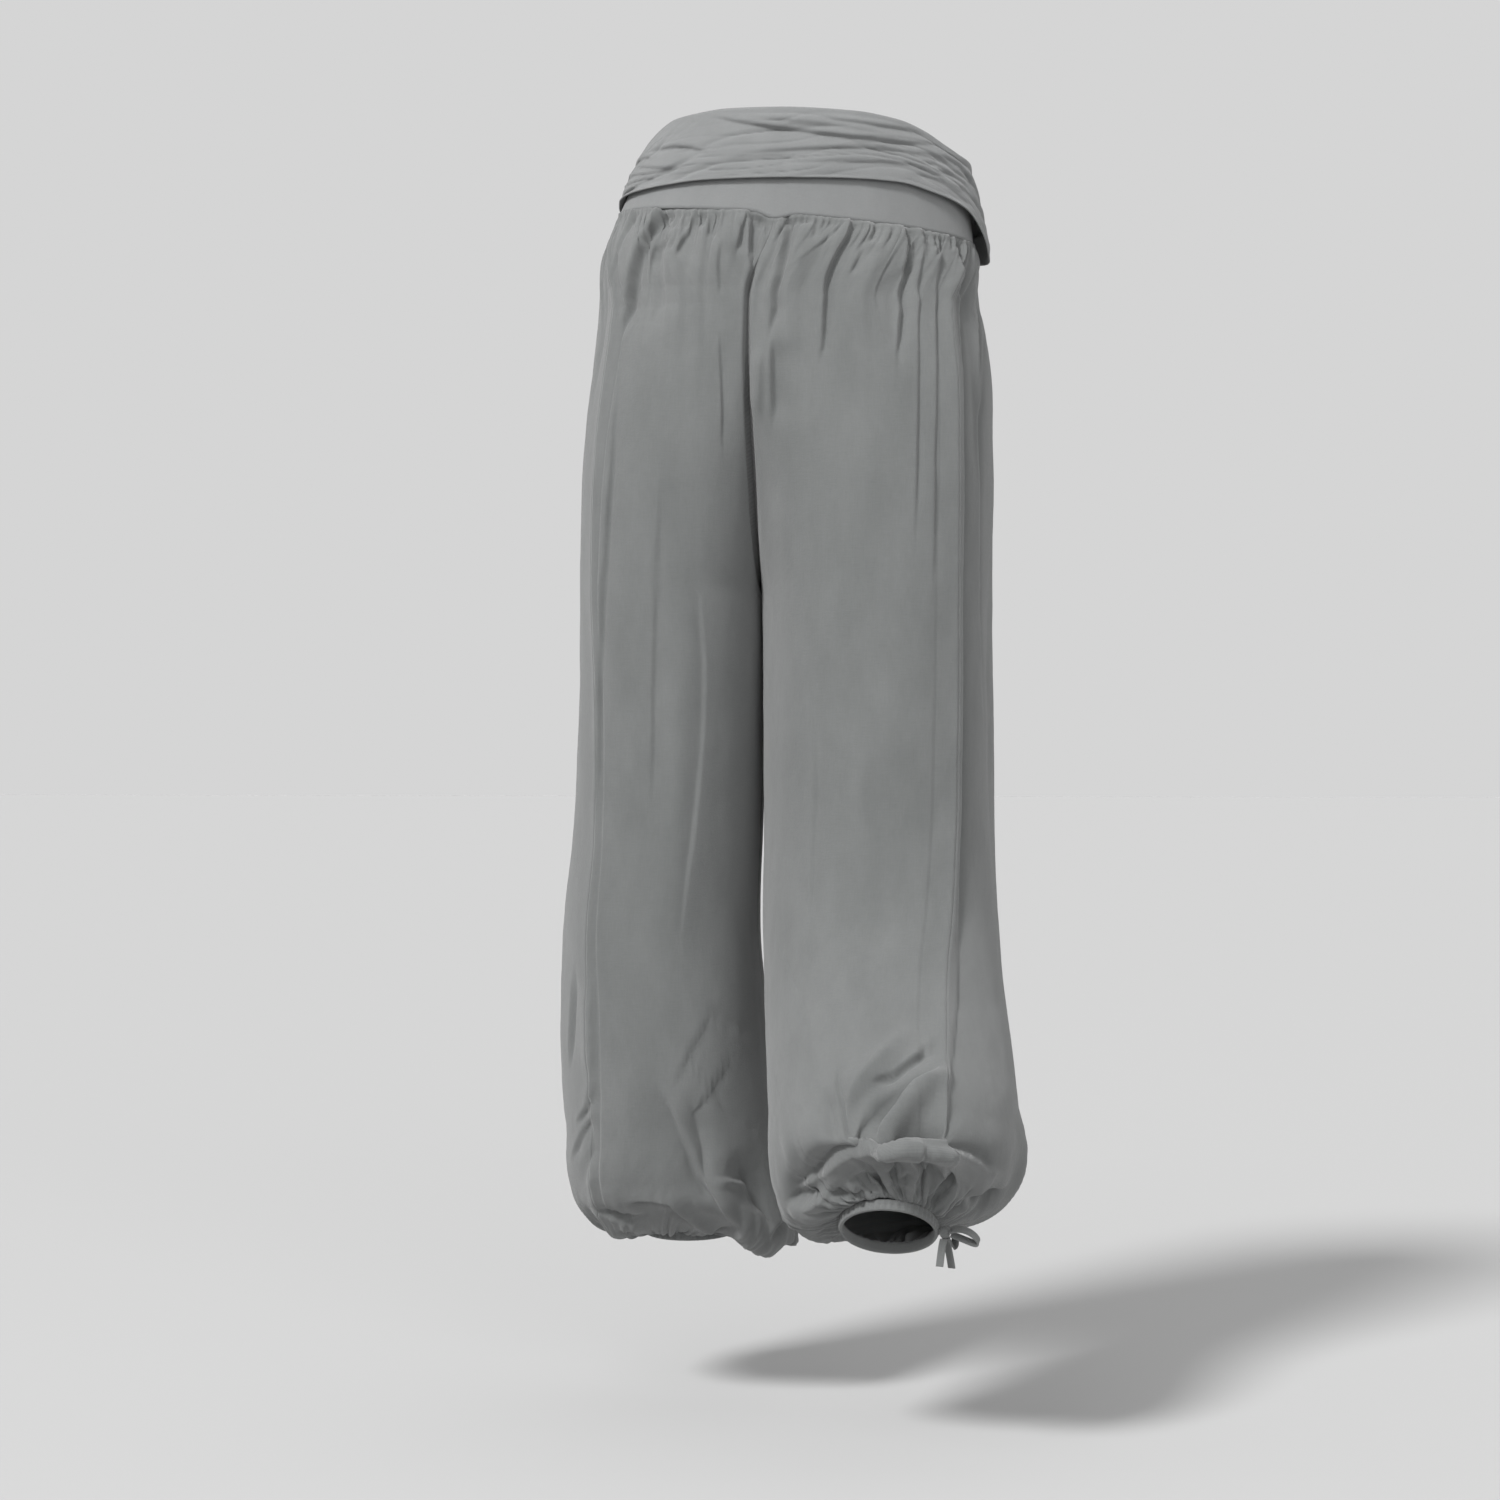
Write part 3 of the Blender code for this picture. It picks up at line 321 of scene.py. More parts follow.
# Narrower creases, laid on the folded surface.
CREASES = by_side(line_row, [
    (2, -1.8, -34, 2, -33, 8, -31, 16),
    (2, -1.5, -46, 4, -44, 12, -43, 20),
    (4, -1.4, -81, 22, -54, 32, -44, 50),
    (2.6, -2.8, -102, 4, -92, 20, -74, 44),
    (1.8, -1.7, -70, 2, -66, 8, -60, 14),
    (1.8, -1.6, -78, 2, -73, 8, -67, 12),
    (1.8, -1.5, -86, 4, -82, 10, -76, 18),
    (1.8, -1.3, -92, 4, -90, 10, -87, 16),
    (1.8, -1.6, -108, 4, -105, 8, -98, 12),
    (1.8, -1.5, -112, 2, -108, 8, -104, 16),
    (2.6, -1.7, -119, 4, -114, 14, -109, 26),
    (2.2, -2, -122, 26, -111, 48, -100, 74),
    (2.2, -2.8, -147, 6, -139, 20, -130, 38),
    (2, -1.5, -157, 4, -155, 8, -149, 18),
    (2, -1.5, -162, 2, -159, 6, -155, 12),
    (2, -1.8, -170, 2, -166, 8, -160, 16),
    (3, -2.2, 20, 630, 24, 660, 28, 686, 35, 724),
    (2.5, -2, -8, 730, 5, 752, 23, 770),
    (2.5, -2, -3, 754, 13, 778, 33, 806),
    (3, 1.6, -109, 814, -133, 822, -153, 828),
    (3, -3, -188, 852, -172, 862, -154, 874),
    (2.5, -2.6, 12, 850, -12, 866, -43, 882),
    (2.5, -2.4, -8, 878, -36, 886),
    (2, -2.2, -1, 858, -23, 870, -49, 876),
    (4, -0.9, -64, 740, -79, 714, -92, 690, -110, 660),
    (4, -0.9, -84, 762, -98, 744, -112, 724, -130, 704),
    (7, 1.5, -1, 642, 0, 684, -1, 726),
    (5.5, -5.6, -67, 2, -54, 18, -41, 34, -25, 56, -16, 74, -12, 92, -13, 110),
    (3, -4.5, -152, 2, -148, 18, -143, 34, -139, 50, -137, 68),
    (2.6, -1.4, -101, 94, -105, 124, -110, 166, -113, 206),
    (2.4, -2.2, -14, 114, -16, 154, -18, 214, -14, 288, -2, 404, 0, 532),
    (-9, -3.5, -124, 878, -118, 858, -111, 838, -99, 814, -89, 788, -70, 752, -52, 722),
    (-4, -4.5, -30, 852, -51, 850, -71, 854, -80, 874, -84, 894),
    (1.8, -1.4, -85, 14, -79, 28, -67, 36),
    (7, -0.9, -64, 200, -57, 322, -49, 404, -46, 520),
    (-7, -0.9, -94, 250, -94, 372, -87, 454, -80, 538, -78, 640),
    (3, -0.9, -94, 664, -115, 680, -138, 688, -165, 694),
    (3, -0.8, -56, 690, -63, 692, -85, 710, -105, 734, -122, 766),
    (1.8, -1.4, -53, 4, -50, 16, -42, 24),
], [
    (2, -1.5, -174, 1, -174, 4, -173, 16),
    (8, -3, -153, 106, -155, 144, -157, 184),
    (4, 2, -163, 114, -165, 144, -168, 176),
    (1.8, -1.8, -160, 1, -160, 2, -162, 8),
    (1.8, -1.8, -155, 1, -156, 2, -159, 6),
    (1.8, -1.6, -151, 1, -151, 2, -154, 6),
    (2.5, -1.6, -144, 1, -144, 8, -143, 22),
    (2, -1.4, -138, 1, -138, 2, -139, 12),
    (1.8, -1.2, -130, 0, -131, 6),
    (1.8, -1.6, -113, 1, -113, 2, -114, 8),
    (2.4, -2.6, -96, 1, -96, 10, -97, 20),
    (3.5, -1.4, -98, 22, -96, 38, -94, 54),
    (2, -1.8, -66, 1, -57, 16, -48, 32),
    (2, -1.6, -53, 1, -46, 14, -37, 30),
    (1.8, -2, -50, 1, -45, 10, -39, 20),
    (2, -2.8, -43, 1, -38, 10, -31, 24),
    (1.8, -1.6, -35, 1, -33, 8, -29, 20),
    (1.8, -1.8, -23, 1, -21, 6, -18, 14),
    (2.4, -2, 28, 26, 49, 70, 39, 156),
    (2.2, -2.6, -93, 884, -83, 894, -73, 910),
    (2.2, -2.6, -86, 882, -74, 894, -59, 912),
    (2, -2.2, -72, 888, -65, 898, -60, 906),
    (2.2, -2.6, -64, 882, -57, 892, -50, 904),
    (2, -2.2, -46, 880, -47, 890, -45, 900),
    (2.4, -2.6, -21, 856, -33, 878, -29, 904),
    (2.4, -2.8, -3, 856, -16, 884, -15, 910),
    (2.6, -3, 22, 864, 9, 890, 7, 916),
    (3, -1.5, -22, 822, -26, 842, -38, 874),
    (6, -6, -171, 870, -144, 884, -110, 892),
    (4, -4, -110, 892, -92, 902, -77, 910),
    (4, -5, 105, 844, 68, 856, 21, 882),
    (3.5, -4, 21, 882, 14, 898, 10, 914),
    (3.2, -4.2, -171, 1, -162, 26, -153, 54, -151, 82, -157, 112),
    (3.2, -3.6, -116, 1, -116, 14, -116, 30, -113, 48, -108, 72, -109, 96, -111, 116, -119, 136),
    (2.8, -4, -70, 1, -61, 20, -49, 48, -44, 82, -47, 108, -53, 138),
    (2.6, -2.4, -13, 6, 19, 64, 11, 176, 8, 324, 8, 488, 8, 618, 5, 688),
    (2, -1.8, 67, 54, 39, 172, 44, 324, 52, 456),
    (2.6, -1.6, -52, 4, -40, 36, -28, 72, -33, 144, -35, 210, -37, 300),
    (2.6, -1.5, -35, 4, -22, 36, -12, 70, -17, 144, -20, 210, -20, 276, -22, 350),
    (6, -0.8, -124, 380, -117, 472, -118, 540, -115, 620),
    (3, -0.8, -168, 600, -140, 640, -118, 690, -104, 742),
    (3.2, -4.2, -60, 780, -39, 768, -20, 750, -3, 734),
    (-5, 7, -76, 842, -71, 836, -54, 818, -36, 804, -21, 786, -7, 772, 2, 760),
    (2.4, -2.6, -86, 758, -86, 790, -87, 814, -85, 846),
    (-9, -13, -74, 852, -66, 844, -57, 836, -37, 829, -19, 829, -1, 829, 8, 832),
    (-7, -6, -174, 866, -143, 872, -123, 874, -99, 862, -78, 856, -57, 840, -37, 834, -19, 836, -1, 836,
     18, 842, 43, 846, 86, 840),
    (3, -3.6, -30, 840, -37, 868, -35, 894, -30, 906),
    (3, -3.4, 0, 852, -14, 880, -15, 904),
    (2.4, -3, -91, 882, -79, 894, -65, 910),
    (2.4, -2.8, -60, 868, -57, 884, -52, 902),
])

WAVES = {"back": 18, "front": 22}
GATHER_TOP, GATHER_TOP_FADE = 0.5, 30
# Height, the distance from the seam by which it is reached, and the one by which it fades.
GATHER_CUFF = (0.8, 8, 48)
BROAD_TOP, BROAD_CUFF = (1.2, 22, 95), (1.8, 20, 80)
TOP_SWELL, FOOT_SWELL = (1.4, 8, 55), (1.6, 10, 60)
BROAD_SHARE = 3
RIDGE = 5
RIDGE_BACK_WIDTH, RIDGE_FRONT_WIDTH = 34, 20


def beside_seam(distance, height, rise, fade):
    """Height that grows from a seam and fades away from it."""
    return height * smooth(distance / rise) * bell(distance / fade)


def uneven(share):
    """Share across a panel, stretched unevenly, still running from 0 to 1."""
    return share + 0.022 * np.sin(math.tau * 3 * share) + 0.011 * np.sin(math.tau * 7 * share)


def gathers(side, w, run):
    """Height of the even gathers under the waist seam and above the cuff."""
    to_cuff = LAST_ROW[side] - run
    broad = beside_seam(run, *BROAD_TOP) + beside_seam(to_cuff, *BROAD_CUFF)
    top = (0.25 + smooth(run / 9)) * bell(run / GATHER_TOP_FADE) * GATHER_TOP
    foot = beside_seam(to_cuff, *GATHER_CUFF)
    height = np.zeros_like(w * run)
    for name, share in (("back", w), ("front", w - 1)):
        inside = (share >= 0) & (share <= 1)
        wave = np.cos(math.tau * WAVES[name] * uneven(share))
        depth = 1 + 0.25 * np.sin(11 * share + 1.7 * side) + 0.12 * np.sin(29 * share + side)
        merged = np.cos(math.tau * (WAVES[name] // BROAD_SHARE) * uneven(share) + 0.8 * side)
        merged = merged * (1 + 0.4 * np.sin(7 * share + side))
        height = np.where(inside, wave * depth * (top + foot) + merged * broad, height)
    return height


def line_gap(points, along, run):
    """Distance from a bent line, the share of the way along it, and the signed distance beside it."""
    points = np.array(points, dtype=float)
    best = np.full(along.shape, math.inf)
    place = np.zeros(along.shape)
    flank = np.zeros(along.shape)
    total = np.linalg.norm(np.diff(points, axis=0), axis=1)
    start = 0
    for first, last, length in zip(points, points[1:], total):
        way = (last - first) / length
        t = np.clip((along - first[0]) * way[0] + (run - first[1]) * way[1], 0, length)
        gap = np.hypot(along - first[0] - t * way[0], run - first[1] - t * way[1])
        place = np.where(gap < best, (start + t) / total.sum(), place)
        turned = (along - first[0]) * way[1] - (run - first[1]) * way[0]
        flank = np.where(gap < best, turned, flank)
        best = np.minimum(best, gap)
        start += length
    return best, place, flank


FOLD_TAPER = 0.4
FOLD_CORE = 0.25


def fold_height(fold, along, run):
    """Height of one fold: a rounded ridge or trough about a bent line, tapered to both ends.

    A core a third as wide makes its middle sharper.
    """
    gap, place, _ = line_gap(fold.points, along, run)
    taper = smooth(place / FOLD_TAPER) * smooth((1 - place) / FOLD_TAPER)
    shape = bell(gap / fold.width) + FOLD_CORE * bell(3 * gap / fold.width)
    return fold.height * taper * shape


# A crease drops in a step on one flank and recovers softly on the other. It tapers at its ends,
# but not where it starts in a seam; there it is only shallower for the first few millimetres.
CREASE_GAIN = 2.2
STEP = 0.75
SOFT = 2.1
BULGE = 0.35
SEAM_REACH, CUFF_REACH = 7, 22
CREASE_TAPER = 0.3
SHARP_FLANK = 0.7


def one_sided(gap, signed, step_width, spread):
    """Shape of a crease: a step on one flank, a soft recovery on the other, a small bulge before it."""
    step = 1 / (1 + np.exp(-np.clip(signed / step_width, -30, 30)))
    return (step - BULGE * (1 - step)) * np.exp(-gap / spread)


def from_seam(distance, share, reach):
    """Share of its depth that a crease has in a seam, growing to all of it within a reach."""
    return share + (1 - share) * smooth(distance / reach)


def crease_height(crease, along, run, side):
    """Height of one crease: the step is on its left or upper flank as seen from behind.

    A negative width puts the step on the other flank; a positive height makes a ridge.
    """
    gap, place, turned = line_gap(crease.points, along, run)
    (across_1, run_1), (across_2, run_2) = crease.points[0], crease.points[-1]
    downwards = np.sign(run_2 - run_1 - 0.3 * side * (across_2 - across_1))
    signed = gap * np.sign(turned) * downwards * side * np.sign(crease.width)
    width = abs(crease.width)
    first = 1 if min(run_1, run_2) < SEAM_REACH else smooth(place / CREASE_TAPER)
    last = 1 if max(run_1, run_2) > LAST_ROW[side] - CUFF_REACH else smooth((1 - place) / CREASE_TAPER)
    if crease.height > 0:
        shape = bell(gap / (width * np.where(signed > 0, SHARP_FLANK, SOFT)))
    else:
        shape = one_sided(gap, signed, STEP, SOFT * width)
    return CREASE_GAIN * crease.height * first * last * from_seam(np.abs(run), 0.25, 6) * shape


# Long lines down each leg beside the side seam, beyond which the cloth lies lower:
# runs down the leg, distances from the seam, and the drop.
SIDE_LINES = {
    LEFT: [((0, 120, 400, 800), (-16, -14, -6, -12), 2.2)],
    RIGHT: [((64, 160, 324, 488, 682, 798), (9, 6, 9, 7, 11, 0), 2.6),
            ((64, 324, 682), (-14, -20, -22), 1)],
}


def lattice_noise(x, y, seed):
    """Smooth noise from -1 to 1 with a period of about one unit, on a lattice turned off the axes."""
    size = 64
    x, y = 0.94 * x + 0.34 * y, 0.94 * y - 0.34 * x
    values = np.random.default_rng(seed).uniform(-1, 1, (size, size))
    column, row = np.floor(x).astype(int), np.floor(y).astype(int)
    u, v = x - column, y - row
    u, v = u ** 3 * (10 - 15 * u + 6 * u * u), v ** 3 * (10 - 15 * v + 6 * v * v)

    def at(i, j):
        return values[(row + j) % size, (column + i) % size]

    upper = at(0, 0) * (1 - u) + at(1, 0) * u
    lower = at(0, 1) * (1 - u) + at(1, 1) * u
    return upper * (1 - v) + lower * v


# Puckers: troughs that start in a gathered seam, uneven in pitch, length, depth and slant.
PUCKER_PITCH = (2.8, 8.6)
PUCKER_DEPTH = (1.6, 4.4)
PUCKER_LENGTH = (7, 20)
LONG_PUCKER_SHARE, LONG_PUCKER = 0.22, 3.4
PUCKER_WIDTH = (1, 1.9)
PUCKER_SLANT, PUCKER_BEND = 0.08, 0.0006
PUCKER_STEP = 0.5
# Distances from the side seam, and the mean slant of the puckers there.
SLANTS = {
    LEFT: ((-190, -150, -40, 0, 40), (0.10, 0.34, 0.48, 0.20, 0)),
    RIGHT: ((-190, -120, -80, -20, 30), (-0.30, -0.34, -0.05, 0.12, 0)),
}
CUFF_PUCKERS = 58
CUFF_PUCKER_DEPTH = (2, 5.5)
CUFF_PUCKER_LENGTH = (14, 60)
CUFF_PUCKER_WIDTH = (0.007, 0.012)
CUFF_PUCKER_SLANT = 0.00045


def waist_puckers(side, along, run, ends):
    """Depth of the puckers under the waist seam."""
    rng = np.random.default_rng(31 + side)
    height = np.zeros_like(along)
    place = ends[0] + 3
    while place < ends[1] - 3:
        depth = rng.uniform(*PUCKER_DEPTH)
        length = rng.uniform(*PUCKER_LENGTH) * (LONG_PUCKER if rng.random() < LONG_PUCKER_SHARE else 1)
        width = rng.uniform(*PUCKER_WIDTH)
        slant = rng.normal(0, PUCKER_SLANT) + np.interp(place, *SLANTS[side])
        bend = rng.normal(0, PUCKER_BEND)
        gap = along - (place + slant * run + bend * run ** 2)
        spread = SOFT * width * (1 + run / 30)
        fade = bell(run / length) * from_seam(run, 0.2, 5)
        height -= depth * fade * one_sided(np.abs(gap), side * gap, PUCKER_STEP, spread)
        place += rng.uniform(*PUCKER_PITCH)
    return height


def cuff_puckers(side, w, run):
    """Depth of the puckers above the cuff, which run straight away from it."""
    rng = np.random.default_rng(57 + side)
    to_cuff = LAST_ROW[side] - run
    height = np.zeros_like(w * run)
    for number in range(CUFF_PUCKERS):
        place = 2 * (number + rng.uniform(0.1, 0.9)) / CUFF_PUCKERS
        depth = rng.uniform(*CUFF_PUCKER_DEPTH)
        length = rng.uniform(*CUFF_PUCKER_LENGTH)
        width = rng.uniform(*CUFF_PUCKER_WIDTH)
        slant = rng.normal(0, CUFF_PUCKER_SLANT)
        fade = bell(to_cuff / length) * from_seam(to_cuff, 0.25, 14)
        gap = w - place - slant * to_cuff
        height -= depth * fade * bell(gap / (width * (1 + to_cuff / 70)))
    return height


# The crevice in the cloth along the centre-back seam: a narrow groove in a broad fall.
CREVICE, CREVICE_WIDTH = 8, 2.2
CREVICE_FALL, CREVICE_FALL_WIDTH = 1.6, 9
CREVICE_FROM, CREVICE_BY = 34, 34


def broad_relief(side, w, along, run, ends):
    """Height of the broad forms that the solid has too: folds, even gathers and the crevice."""
    width = np.where(along < 0, RIDGE_BACK_WIDTH, RIDGE_FRONT_WIDTH)
    fade = smooth(run / 60) * smooth((LAST_ROW[side] - run) / 140)
    height = gathers(side, w, run) + RIDGE * fade * np.exp(-np.abs(along) / width)
    for fold in FOLDS[side]:
        height += fold_height(fold, along, run)
    edge = np.minimum(along - ends[:, :1], ends[:, 1:] - along)
    height *= smooth(edge / 9)
    behind = along - ends[:, :1]
    reach = smooth((run - CREVICE_FROM) / CREVICE_BY)
    reach = reach * (1 - smooth((run - CROTCH_ROW[side] + 60) / 160))
    crevice = CREVICE * bell(behind / CREVICE_WIDTH) + CREVICE_FALL * bell(behind / CREVICE_FALL_WIDTH)
    return height - reach * crevice


# The pressed line down the side, and the grooves of the seams.
PRESSED, PRESSED_EDGE = 3, 1.2
PRESSED_WIDTHS = (30, 18)
SEAM_DEPTH, STITCH_DEPTH = 0.5, 0.25
INSEAM_DEPTH, WAIST_LIP, CUFF_GROOVE = 0.9, 1, 0.8


def fine_relief(side, w, along, run, ends):
    """Height of creases, puckers, seam grooves and crumples, laid on the folded surface."""
    to_cuff = LAST_ROW[side] - run
    height = np.zeros_like(along)
    for crease in CREASES[side]:
        height += crease_height(crease, along, run, side)
    height += waist_puckers(side, along, run, ends[4]) + cuff_puckers(side, w, run)
    height += beside_seam(run, *TOP_SWELL) + beside_seam(to_cuff, *FOOT_SWELL)
    crumple = (0.9 * lattice_noise(along / 34 + 3.3 * side, run / 70, 5)
               + 0.5 * lattice_noise(along / 15 + run / 60, run / 28, 6)
               + 0.22 * lattice_noise(along / 6.5 - run / 50, run / 11, 7))
    busy = 0.55 + 0.8 * bell(run / 120) + 0.9 * bell(to_cuff / 130)
    height += crumple * busy
    edge = np.minimum(along - ends[:, :1], ends[:, 1:] - along)
    height *= smooth(edge / 5)
    sides = smooth(run / 60) * smooth(to_cuff / 110)
    pressed = PRESSED * np.exp(-np.abs(along) / np.where(along < 0, *PRESSED_WIDTHS))
    height += sides * (pressed + PRESSED_EDGE * np.exp(-np.abs(along) / 4))
    for runs, places, drop in SIDE_LINES[side]:
        past = along - np.interp(run, runs, places)
        height -= sides * drop * smooth(past / 2.5) * np.exp(-np.maximum(past, 0) / 22)
    stitches = SEAM_DEPTH + STITCH_DEPTH * np.sin(run / 2.9) * np.sin(run / 17)
    height -= stitches * bell(along / 1.4) * smooth(run / 12)
    inseam = bell(edge / 2.2) * smooth((run - CROTCH_ROW[side]) / 60)
    return height - INSEAM_DEPTH * inseam + WAIST_LIP * bell(run / 3) - CUFF_GROOVE * bell(to_cuff / 2.2)


# ---- meshes
def grid_normals(points, side, closed_rows):
    """Outward normals of a leg's grid, shared by both panels where they meet in the inseam."""
    facing = unit(side * np.cross(np.gradient(points, axis=0), np.gradient(points, axis=1)))
    both = unit(facing[closed_rows, 0] + facing[closed_rows, -1])
    facing[closed_rows, 0] = both
    facing[closed_rows, -1] = both
    for column in (0, -1):
        level = facing[~closed_rows, column]
        level[:, 0] = 0
        facing[~closed_rows, column] = unit(level)
    return facing


def own_side(points, side, rows):
    """Keep the upper part of a leg on its own side of the centre seams."""
    limit = centre_plane(points[rows, :, 2])
    points[rows, :, 0] = limit + side * np.maximum(side * (points[rows, :, 0] - limit), 0)


# The grid is fine in the top and the foot of a leg, where the puckers are.
BACK_COLUMNS, FRONT_COLUMNS = 200, 160
TOP_FINE, TOP_STEP = 120, 2.2
MIDDLE_STEP = 6.5
FOOT_FINE, FOOT_STEP = 180, 2
OWN_SIDE_TO = 250


def leg_rows(side):
    """Distances down the cloth of the rows of a leg's grid."""
    last = LAST_ROW[side]
    middle = np.linspace(TOP_FINE, last - FOOT_FINE, int((last - FOOT_FINE - TOP_FINE) / MIDDLE_STEP))
    return np.concatenate((np.arange(0, TOP_FINE, TOP_STEP), middle[:-1],
                           np.linspace(last - FOOT_FINE, last, int(FOOT_FINE / FOOT_STEP))))


def leg_grid(side):
    """Points of a leg's cloth as rows and columns, with the distance from the side seam of each."""
    rows = leg_rows(side)
    w = np.concatenate((np.linspace(0, 1, BACK_COLUMNS + 1),
                        np.linspace(1, 2, FRONT_COLUMNS + 1)[1:]))
    base, along, ends = [], [], []
    for run in rows:
        points, lengths = ring(side, float(run))
        place = np.where(w < 1, lengths[0] * (1 - w), lengths[-1] * (w - 1))
        base.append(points_at(place, lengths, points))
        along.append(place)
        ends.append((lengths[0], lengths[-1]))
    base, along, ends = np.array(base), np.array(along), np.array(ends)
    closed_rows = rows >= CROTCH_ROW[side]
    upper_rows = rows < CROTCH_ROW[side] + OWN_SIDE_TO
    run = rows[:, None]
    broad = broad_relief(side, w[None, :], along, run, ends)
    folded = base + grid_normals(base, side, closed_rows) * broad[:, :, None]
    own_side(folded, side, upper_rows)
    fine = fine_relief(side, w[None, :], along, run, ends)
    points = folded + grid_normals(folded, side, closed_rows) * fine[:, :, None]
    own_side(points, side, upper_rows)
    return points, along, rows


def add_object(name, data):
    """Put new data into the scene as an object."""
    thing = bpy.data.objects.new(name, data)
    bpy.context.collection.objects.link(thing)
    return thing


def add_grid(name, points, flat, material, flip=False, closed=False):
    """Make a mesh from a grid of points in millimetres; flat holds the cloth's own coordinates."""
    rows, columns = points.shape[:2]
    index = np.arange(rows * columns).reshape(rows, columns)
    if closed:
        index = np.concatenate((index, index[:, :1]), axis=1)
    corners = [index[:-1, :-1], index[:-1, 1:], index[1:, 1:], index[1:, :-1]]
    if flip:
        corners = corners[::-1]
    faces = np.stack(corners, axis=-1).reshape(-1, 4)
    mesh = bpy.data.meshes.new(name)
    mesh.from_pydata((points.reshape(-1, 3) * MM).tolist(), [], faces.tolist())
    layer = mesh.uv_layers.new(name="cloth")
    layer.data.foreach_set("uv", (flat.reshape(-1, 2) * MM)[faces.reshape(-1)].reshape(-1))
    mesh.materials.append(material)
    mesh.shade_smooth()
    return add_object(name, mesh)


def thicken(piece, thickness, offset):
    """Give a cloth its thickness: inwards at an offset of -1, to both sides at 0."""
    shell = piece.modifiers.new("thickness", "SOLIDIFY")
    shell.thickness = thickness * MM
    shell.offset = offset


def make_legs(material):
    """The four leg panels, cut at the side seams."""
    pieces = {}
    for side in SIDES:
        points, along, rows = leg_grid(side)
        flat = together(along, rows[:, None])
        for panel, columns in (("back", slice(0, BACK_COLUMNS + 1)), ("front", slice(BACK_COLUMNS, None))):
            name = f"leg_{SIDES[side]}_{panel}"
            piece = add_grid(f"cloth_{name}", points[:, columns], flat[:, columns], material, side == RIGHT)
            thicken(piece, WOVEN_WALL, -1)
            pieces[name] = piece
    return pieces


# ---- fold-over waistband
# Degrees round the waist from centre back (minus is the wearer's left), heights of the fold and of
# the turned-down edge, and how far that edge stands off.
BAND = np.array([
    (-180, 42, -30, 15),
    (-140, 48, -12, 14),
    (-105, 57, 16, 7.5),
    (-88, 65, 25, 5.5),
    (-72, 75, 27, 5),
    (-56, 87, 28, 5),
    (-30, 90, 30, 4.5),
    (0, 88, 29, 4.5),
    (25, 84, 28, 4.5),
    (41, 78, 26, 5),
    (52, 70, 20, 5.5),
    (61, 62, 16, 6.5),
    (72, 56, 8, 9),
    (82, 54, -10, 12),
    (91, 53, -29, 13),
    (102, 51, -30, 13.5),
    (125, 46, -25, 15),
    (150, 43, -28, 15),
    (180, 42, -30, 15),
])
BAND_LEAN = 0.19
BAND_TAPER = 0.28
BAND_DEPTH_TAPER = 0.09
FOLD_RADIUS = 2.2
BAND_COLUMNS = 420
INNER_ROWS, TURN_ROWS, OUTER_ROWS = 26, 12, 54
OUTER_BELLY = 2
RUCK = 0.15
EDGE_ROLL, EDGE_ROLL_WIDTH = 0.5, 2.2
WRINKLE_GAIN = 0.52
AROUND_RADIUS = 2.3


def wrinkle_row(width, height, *places):
    """A crease of the band, from degrees round the waist and heights, with its step on the other flank."""
    row = line_row(-width, WRINKLE_GAIN * height, *places)
    return row._replace(points=[(AROUND_RADIUS * around, level) for around, level in row.points])


WRINKLES = [wrinkle_row(*row) for row in (
    (4, -4.2, -39, 89, -21, 78, 0, 69, 20, 63, 43, 60, 63, 61),
    (3.5, 2, -18, 84, 0, 78, 21, 72, 39, 65),
    (3, -3, 5, 80, 30, 73, 51, 70, 63, 61),
    (3.5, -2.6, -20, 50, 1, 52, 16, 54, 31, 54, 48, 51, 60, 45),
    (4, 1.5, 12, 57, 25, 59, 39, 57),
    (3, -3, 8, 42, 32, 43, 44, 42, 54, 36, 66, 32),
    (2.6, -3, -64, 62, -52, 62, -45, 62, -35, 58, -26, 51),
    (2.6, -2.6, -80, 52, -62, 49, -50, 45, -32, 40),
    (2, -1.4, -24, 46, -8, 46, 8, 45),
    (2.6, -3, -88, 44, -73, 45, -56, 42, -40, 42),
    (2.6, -3, -90, 37, -76, 38, -58, 38, -44, 35),
    (2.6, -3, -96, 29, -84, 30, -73, 33, -58, 34),
    (2.6, -3, -92, 52, -80, 57, -66, 58, -54, 54),
    (2.6, -3.2, 44, 56, 53, 52, 60, 47, 66, 41, 72, 36, 77, 30),
    (2.4, -2.8, 54, 54, 62, 50, 70, 46, 76, 40, 84, 32),
    (2.4, -2.8, 54, 41, 62, 38, 67, 35, 72, 31, 75, 25, 78, 17),
    (2, -2.2, 47, 46, 55, 44, 61, 39, 66, 35),
    (2.4, -2.6, 40, 35, 49, 34, 58, 30, 65, 23, 70, 17, 79, 10),
    (3, -2.6, 70, 26, 79, 17, 90, 8, 100, -2, 106, -14),
    (2.6, -2.4, 78, 38, 88, 26, 100, 14, 112, 2),
    (4, -3.5, 98, 40, 130, 30, 166, 26),
    (4, -3.2, 104, 18, 145, 8, 176, 2),
    (4, -3.5, -172, 28, -135, 36, -98, 48),
    (4, -3.2, -176, 4, -140, 14, -104, 30),
    (3, -2.6, 112, -4, 140, -12, 170, -14),
    (3, 1.6, 108, 30, 138, 22, 168, 18),
    (3, -2.6, -166, -10, -142, 0, -112, 18),
    (3, 1.6, -170, 20, -138, 28, -104, 40),
)]


